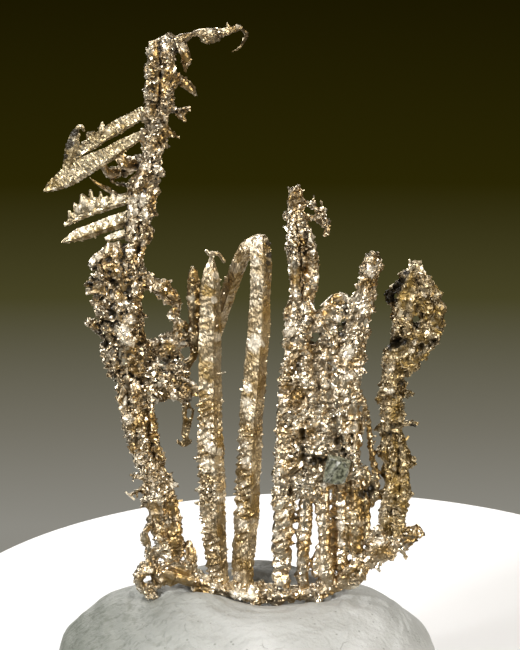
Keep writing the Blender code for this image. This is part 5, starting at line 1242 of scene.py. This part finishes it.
longBlade = lookOf(bladed, profiles=((up, -0.1, 0.7),), ledges=(0.3, 0.05, 0.25, 99.0), bare=0.02,
    grains=(0.18, 0.07, 0.16, 41),
    bars=[
        [(-550, 2920, 30, 36), (-600, 2900, 30, 40), (-670, 2875, 20, 44), (-750, 2845, 10, 42),
         (-830, 2815, 0, 41), (-915, 2785, -10, 37), (-975, 2755, -20, 20), (-1010, 2740, -20, 5)]],
    browned=[(-748, 2814, 28, 80), (-803, 2797, 28, 80), (-869, 2768, 28, 85), (-935, 2756, 28, 85),
        (-682, 2844, 28, 60)],
    bright=[(-737, 2896, 33, 80), (-814, 2867, 33, 90), (-891, 2826, 33, 100), (-952, 2809, 28, 100)],
    soot=[(-990, 2738, 17, 60)])

shortBlade = lookOf(bladed, profiles=((up, -0.1, 0.7),), ledges=(0.3, 0.05, 0.25, 99.0), bare=0.02,
    grains=(0.18, 0.07, 0.16, 42),
    bars=[
        [(-570, 2810, 25, 30), (-630, 2795, 20, 28), (-695, 2780, 10, 26), (-750, 2765, 0, 22),
         (-775, 2760, 0, 10)]],
    bright=[(-759, 2779, 28, 90), (-704, 2797, 28, 70)],
    browned=[(-726, 2750, 17, 60)])

combBlade = lookOf(bladed, profiles=((up, -0.2, 0.7),), ledges=(0.3, 0.06, 0.25, 99.0), brown=0.1,
    grains=(0.17, 0.07, 0.17, 43),
    bars=[
        [(-570, 3010, 30, 28), (-620, 3000, 30, 30), (-705, 2975, 20, 30), (-790, 2945, 10, 30),
         (-870, 2915, 0, 30), (-935, 2880, -10, 25), (-995, 2840, -20, 10)]],
    twigs=[
        [(-920, 2900, 0, 22), (-935, 2960, 0, 13)], [(-895, 2920, 0, 26), (-900, 2950, 0, 20)],
        [(-870, 2940, 0, 26), (-885, 2985, 0, 30), (-895, 3010, 0, 16)],
        [(-850, 2930, 0, 26), (-840, 2965, 0, 22)], [(-830, 2950, 0, 12), (-850, 3040, 10, 10)],
        [(-810, 2960, 0, 20), (-820, 2990, 0, 16)], [(-790, 2950, 10, 22), (-795, 3030, 10, 9)],
        [(-770, 2960, 10, 22), (-760, 3000, 10, 14)], [(-740, 2970, 20, 24), (-725, 3020, 30, 10)],
        [(-690, 2990, 20, 24), (-650, 3010, 20, 22)], [(-960, 2890, -10, 16), (-965, 2920, -10, 10)]],
    browned=[(-759, 2926, 22, 75), (-814, 2902, 22, 80), (-880, 2879, 22, 80), (-935, 2855, 17, 70),
        (-693, 2955, 17, 60)],
    bright=[(-704, 3002, 33, 80), (-781, 2972, 22, 80), (-891, 2967, 28, 60), (-919, 2932, 17, 80),
        (-847, 2949, 22, 80)],
    soot=[(-814, 2972, 14, 60), (-869, 2990, 11, 50)])

barPieces = {"dagger_wire": daggerWire, "hairpin_wire": hairpinWire, "lance_blades": lanceBlades,
             "comb_blade": combBlade, "long_blade": longBlade, "short_blade": shortBlade}


# Darker fine wires: the hook at the top, the spike beside the dagger and the pendant under the clump

bronzed = lookOf(crust, metal="bronzed silver", slot="bronzed_silver", voxel=0.055, calm=2, swell=-0.02,
    thin=0.7, lumps=(0.4, 0.05), creases=(0.3, 0.03), facets=(0.3, 0.04), brown=0.4, pits=0.7, bare=0.05,
    deepest=0.06, grains=(0.18, 0.06, 0.16, 30))

darkWires = {
    "top_hook": lookOf(bronzed, bare=0.15,
        soot=[(-88, 3897, 22, 90), (-110, 3914, 17, 80), (-308, 3926, 17, 50)],
        bright=[(-116, 4020, 17, 100), (-198, 3967, 17, 70), (-44, 3996, 14, 70)]),
    "side_spike": lookOf(bronzed, swell=0.1,
        soot=[(-286, 2475, 22, 90), (-269, 2487, 17, 80)],
        bright=[(-302, 2417, 22, 60), (-308, 2230, 17, 80)],
        browned=[(-286, 2551, 28, 30)],
        smooth=[(-286, 2551, 39, 90)]),
    "nest_pendant": lookOf(bronzed, bare=0.0),
}


# Chip of grey-green mineral on the front of the web

chip = {
    "size": (1.25, 0.7, 1.45), "turn": 0.25, "bevel": 0.08,
    "corners": ((0.8, -0.5, 0.6), (-0.9, -0.3, 0.5), (0.5, -0.4, -1.0), (-0.4, -1.0, 0.2)), "cutOff": 0.22,
    "pits": ((0.06, 0.18), (0.06, 0.5)),   # rise and size
    "clouds": 5200.0, "tones": ((0.40, (0.03, 0.033, 0.018)), (0.62, (0.26, 0.27, 0.195))),
    "roughness": 0.35, "clear": 0.25,
}


def makeGrain():
    low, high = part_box("pale_grain")
    centre = (low + high) / (2.0 * mm)
    bm = bmesh.new()
    bmesh.ops.create_cube(bm, size=1.0)
    bmesh.ops.scale(bm, vec=chip["size"], verts=bm.verts)
    for corner in chip["corners"]:
        plane = Vector(corner).normalized()
        reach = max(vertex.co.dot(plane) for vertex in bm.verts)
        cut = bmesh.ops.bisect_plane(bm, geom=bm.verts[:] + bm.edges[:] + bm.faces[:], dist=1e-5,
                                     plane_co=plane * (reach - chip["cutOff"]), plane_no=plane,
                                     clear_outer=True)
        rim = [item for item in cut["geom_cut"] if isinstance(item, bmesh.types.BMEdge)]
        bmesh.ops.edgeloop_fill(bm, edges=rim)
    bmesh.ops.bevel(bm, geom=bm.edges[:], offset=chip["bevel"], affect="EDGES", segments=2, profile=0.5,
                    material=-1)
    bmesh.ops.subdivide_edges(bm, edges=bm.edges[:], cuts=3, use_grid_fill=True)
    bmesh.ops.recalc_face_normals(bm, faces=bm.faces)
    for vertex in bm.verts:
        vertex.co += vertex.normal * sum(rise * cloud(vertex.co, size) for rise, size in chip["pits"])
    bm.transform(Matrix.Translation(centre) @ Matrix.Rotation(chip["turn"], 4, "Y"))
    obj = linkedObject("mineral_chip", bm)
    material, tree, shader = newMaterial("pale mineral")
    place = addNode(tree, "ShaderNodeTexCoord").outputs["Object"]
    tone = rampNode(tree, noiseNode(tree, place, chip["clouds"], 6.0)["Fac"], chip["tones"])
    tree.links.new(tone, shader.inputs["Base Color"])
    shader.inputs["Roughness"].default_value = chip["roughness"]
    shader.inputs["Transmission Weight"].default_value = chip["clear"]
    dress(obj, ["pale_grain"], material)


# Putty with finger ridges

putty = {
    "voxel": 0.15, "calm": 40, "dents": (2.6, 0.16),
    "pressed": (0.2, 0.1, 1.6),            # it sank this much by the silver, from near to far
    "rim": (0.15, 1.2), "flat": 0.06,      # its foot keeps its shape, and is flat below this height
    "pitch": 0.5, "ridge": 0.07, "bend": (1.6, 0.8), "worn": (0.8, 0.7, 0.5),
    # fingerprints: centre of the whorl x, y, z, reach, ridge strength
    "prints": ((3.0, -12.0, 9.0, 7.0, 1.0), (-6.0, -5.0, 12.0, 5.5, 0.8), (8.0, -2.0, 10.0, 5.0, 0.8),
               (-3.0, 10.0, 9.0, 6.5, 0.9), (6.0, 9.0, 8.0, 5.5, 0.9)),
}
puttyLook = {
    "clouds": 260.0, "tones": ((0.35, (0.35, 0.355, 0.345)), (0.65, (0.435, 0.44, 0.435))),
    # painted shade: the left end is greyer
    "shadedLeftEnd": (-0.0095, 0.0005, 0.85, 0.0), "grey": (0.155, 0.17, 0.14),
    # painted shadow: the hollow behind the ridge is darkened
    "hollow": (-0.0010, -0.0036, -0.0068), "hollowShape": (0.55, 1.0, 1.0),
    "hollowShadow": (0.0012, 0.0030, 0.85, 0.0), "tarnishAndShade": (0.045, 0.045, 0.028),
    "specks": 1300.0, "speckSize": (0.05, 0.12, 0.55, 0.0),
    # hair-fine creases, here and there
    "swayScale": 700.0, "sway": 0.0016, "creases": 420.0, "creaseWidth": (0.002, 0.012, 1.0, 0.0),
    "creased": (0.55, 0.64),
    # drag marks run down the left end
    "dragShape": (1.0, 1.0, 0.14), "drags": 2600.0, "dragged": (0.5, 0.66),
    "dirt": (0.10, 0.11, 0.085), "creaseDirt": 0.25, "dragDirt": 0.7,
    "roughness": 0.55, "fine": 4200.0, "fineRise": 1.3, "creaseRise": -0.4, "dragRise": -0.8,
    "ridges": {"Scale": 560.0, "Distortion": 3.0, "Detail": 2.0, "Detail Scale": 0.5},
    "bump": {"Strength": 0.8, "Distance": 0.00008},
}


def puttyHeight(place):
    size, rise = putty["dents"]
    height = rise * cloud(place, size) + 0.25 * rise * cloud(place, 0.25 * size)
    bendSize, bend = putty["bend"]
    wornSize, vary, mean = putty["worn"]
    best = 0.0
    for x, y, z, reach, strength in putty["prints"]:
        away = (place - Vector((x, y, z))).length
        share = strength * (1.0 - smoothStep(0.6 * reach, 1.4 * reach, away))
        if share > best:
            best = share
            phase = 2.0 * math.pi * (away / putty["pitch"] + bend * cloud(place, bendSize))
            worn = mean + vary * cloud(place, wornSize)
            height += putty["ridge"] * share * max(0.0, worn) * math.sin(phase)
    return height


def puttyMaterial():
    look = puttyLook
    material, tree, shader = newMaterial("putty")

    def reckon(operation, *terms):
        return mathNode(tree, operation, *terms)

    place = addNode(tree, "ShaderNodeTexCoord").outputs["Object"]
    colour = rampNode(tree, noiseNode(tree, place, look["clouds"], 4.0)["Fac"], look["tones"])
    across = addNode(tree, "ShaderNodeSeparateXYZ", {"Vector": place}).outputs["X"]
    shadedLeftEnd = rangeNode(tree, across, *look["shadedLeftEnd"])
    colour = mixNode(tree, shadedLeftEnd, colour, look["grey"])
    fromHollow = vectorNode(tree, "ADD", place, look["hollow"])
    fromHollow = vectorNode(tree, "MULTIPLY", fromHollow, look["hollowShape"])
    hollowShadow = rangeNode(tree, vectorNode(tree, "LENGTH", fromHollow), *look["hollowShadow"])
    colour = mixNode(tree, hollowShadow, colour, look["tarnishAndShade"])
    dust = rangeNode(tree, cellNode(tree, place, look["specks"])["Distance"], *look["speckSize"])
    sway = noiseNode(tree, place, look["swayScale"], 3.0)
    bent = vectorNode(tree, "ADD", place, vectorNode(tree, "SCALE", sway["Color"], look["sway"]))
    creases = cellNode(tree, bent, look["creases"], "DISTANCE_TO_EDGE")
    crease = reckon("MULTIPLY", rangeNode(tree, creases["Distance"], *look["creaseWidth"]),
                    rangeNode(tree, sway["Fac"], *look["creased"]))
    drags = noiseNode(tree, vectorNode(tree, "MULTIPLY", bent, look["dragShape"]), look["drags"], 3.0)
    drag = reckon("MULTIPLY", rangeNode(tree, drags["Fac"], *look["dragged"]), shadedLeftEnd)
    marks = reckon("MAXIMUM", dust, reckon("MULTIPLY", crease, look["creaseDirt"]))
    marks = reckon("MAXIMUM", marks, reckon("MULTIPLY", drag, look["dragDirt"]))
    tree.links.new(mixNode(tree, marks, colour, look["dirt"]), shader.inputs["Base Color"])
    shader.inputs["Roughness"].default_value = look["roughness"]
    fine = noiseNode(tree, place, look["fine"], 4.0)["Fac"]
    ridges = addNode(tree, "ShaderNodeTexWave", {"Vector": place, **look["ridges"]}, wave_type="RINGS",
                     rings_direction="SPHERICAL").outputs["Fac"]
    height = reckon("MULTIPLY_ADD", fine, look["fineRise"], ridges)
    height = reckon("MULTIPLY_ADD", crease, look["creaseRise"], height)
    height = reckon("MULTIPLY_ADD", drag, look["dragRise"], height)
    bump = addNode(tree, "ShaderNodeBump", {"Height": height, **look["bump"]})
    tree.links.new(bump.outputs["Normal"], shader.inputs["Normal"])
    return material


def makePutty():
    obj = linkedObject("pressed_putty", solidCopy("mounting_putty"))
    fuse(obj, putty["voxel"], putty["calm"])
    silver = neighbourTree("mounting_putty")
    drop, near, far = putty["pressed"]
    for vertex, normal in zip(obj.data.vertices, copyNormals(obj.data)):
        sink = drop * (1.0 - smoothStep(near, far, silver.find_nearest(vertex.co)[3]))
        keep = smoothStep(*putty["rim"], vertex.co.z)
        vertex.co += normal * (puttyHeight(vertex.co) - sink) * keep
        if vertex.co.z < putty["flat"]:
            vertex.co.z = 0.0
    for face in obj.data.polygons:
        face.use_smooth = True
    dress(obj, ["mounting_putty"], puttyMaterial())


# Stage: a round pale floor, soft lights, a dark backdrop that lightens downwards, and the camera

stageLook = {
    "floorRadius": 22.6, "floorPlace": (4.05, 10.4), "floorThickness": 1.2, "floorEdge": 0.3,
    "floorColour": (0.86, 0.86, 0.88), "floorRoughness": 0.7,
    "target": (0.77, 0.0, 22.59), "distance": 450.0, "frameHeight": 35.75, "sensor": 36.0,
    # elevation in degrees and colour of the backdrop
    "backdrop": ((-21.4, (0.2650, 0.2560, 0.2250)), (-20.7, (0.1700, 0.1600, 0.1250)),
                 (-19.8, (0.0620, 0.0570, 0.0190)), (-19.0, (0.0220, 0.0185, 0.0014)),
                 (-17.6, (0.0100, 0.0080, 0.0004))),
    # name, place, size, power, colour
    "lights": (("key", (-190.0, -170.0, 210.0), 70.0, 1.08, (1.0, 0.99, 0.97)),
               ("side", (-300.0, -110.0, 30.0), 190.0, 0.34, (1.0, 0.97, 0.92)),
               ("fill", (230.0, -220.0, 150.0), 200.0, 1.3, (1.0, 0.95, 0.86)),
               ("top", (90.0, 40.0, 300.0), 120.0, 0.35, (1.0, 0.99, 0.97)),
               ("back", (-60.0, 300.0, 130.0), 200.0, 0.5, (1.0, 0.97, 0.92))),
    "lit": (0.0, 0.0, 18.0),
}


def makeFloor():
    radius, thickness = stageLook["floorRadius"], stageLook["floorThickness"]
    bm = bmesh.new()
    bmesh.ops.create_cone(bm, cap_ends=True, segments=160, radius1=radius, radius2=radius, depth=thickness)
    rim = [edge for edge in bm.edges if edge.verts[0].co.z > 0 and edge.verts[1].co.z > 0]
    bmesh.ops.bevel(bm, geom=rim, offset=stageLook["floorEdge"], affect="EDGES", segments=4, profile=0.5,
                    material=-1)
    bmesh.ops.translate(bm, verts=bm.verts, vec=(*stageLook["floorPlace"], -0.5 * thickness))
    obj = linkedObject("floor", bm)
    obj.data.transform(Matrix.Scale(mm, 4))
    material, tree, shader = newMaterial("pale floor")
    shader.inputs["Base Color"].default_value = (*stageLook["floorColour"], 1.0)
    shader.inputs["Roughness"].default_value = stageLook["floorRoughness"]
    obj.data.materials.append(material)


def softLight(name, place, size, power, colour):
    light = bpy.data.lights.new(name, "AREA")
    light.shape = "DISK"
    light.size = size * mm
    light.energy = power
    light.color = colour
    obj = linkedObject(name, light)
    obj.location = Vector(place) * mm
    aim = Vector(stageLook["lit"]) * mm - obj.location
    obj.rotation_euler = aim.to_track_quat("-Z", "Y").to_euler()


def makeBackdrop():
    world = bpy.data.worlds.new("backdrop")
    bpy.context.scene.world = world
    world.use_nodes = True
    tree = world.node_tree
    sight = addNode(tree, "ShaderNodeTexCoord").outputs["Generated"]
    height = addNode(tree, "ShaderNodeSeparateXYZ", {"Vector": sight}).outputs["Z"]
    lines = [(math.sin(math.radians(angle)), colour) for angle, colour in stageLook["backdrop"]]
    low, high = lines[0][0], lines[-1][0]
    stops = [((line - low) / (high - low), colour) for line, colour in lines]
    tree.links.new(rampNode(tree, rangeNode(tree, height, low, high), stops),
                   tree.nodes["Background"].inputs["Color"])
    bpy.context.scene.view_settings.view_transform = "Standard"


def makeCamera():
    camera = bpy.data.cameras.new("camera")
    camera.sensor_width = stageLook["sensor"]
    camera.lens = camera.sensor_width * stageLook["distance"] / stageLook["frameHeight"]
    camera.clip_start = 0.01
    obj = linkedObject("camera", camera)
    back = Vector((0.0, -math.cos(viewTilt), math.sin(viewTilt)))
    obj.location = (Vector(stageLook["target"]) + stageLook["distance"] * back) * mm
    obj.rotation_euler = (math.radians(90.0) - viewTilt, 0.0, 0.0)
    bpy.context.scene.camera = obj


for node, look in crustPieces.items():
    crustPiece(node, look)
for node, look in barPieces.items():
    barPiece(node, look)
for node, look in darkWires.items():
    crustPiece(node, look)
makeGrain()
makePutty()
makeFloor()
for light in stageLook["lights"]:
    softLight(*light)
makeBackdrop()
makeCamera()
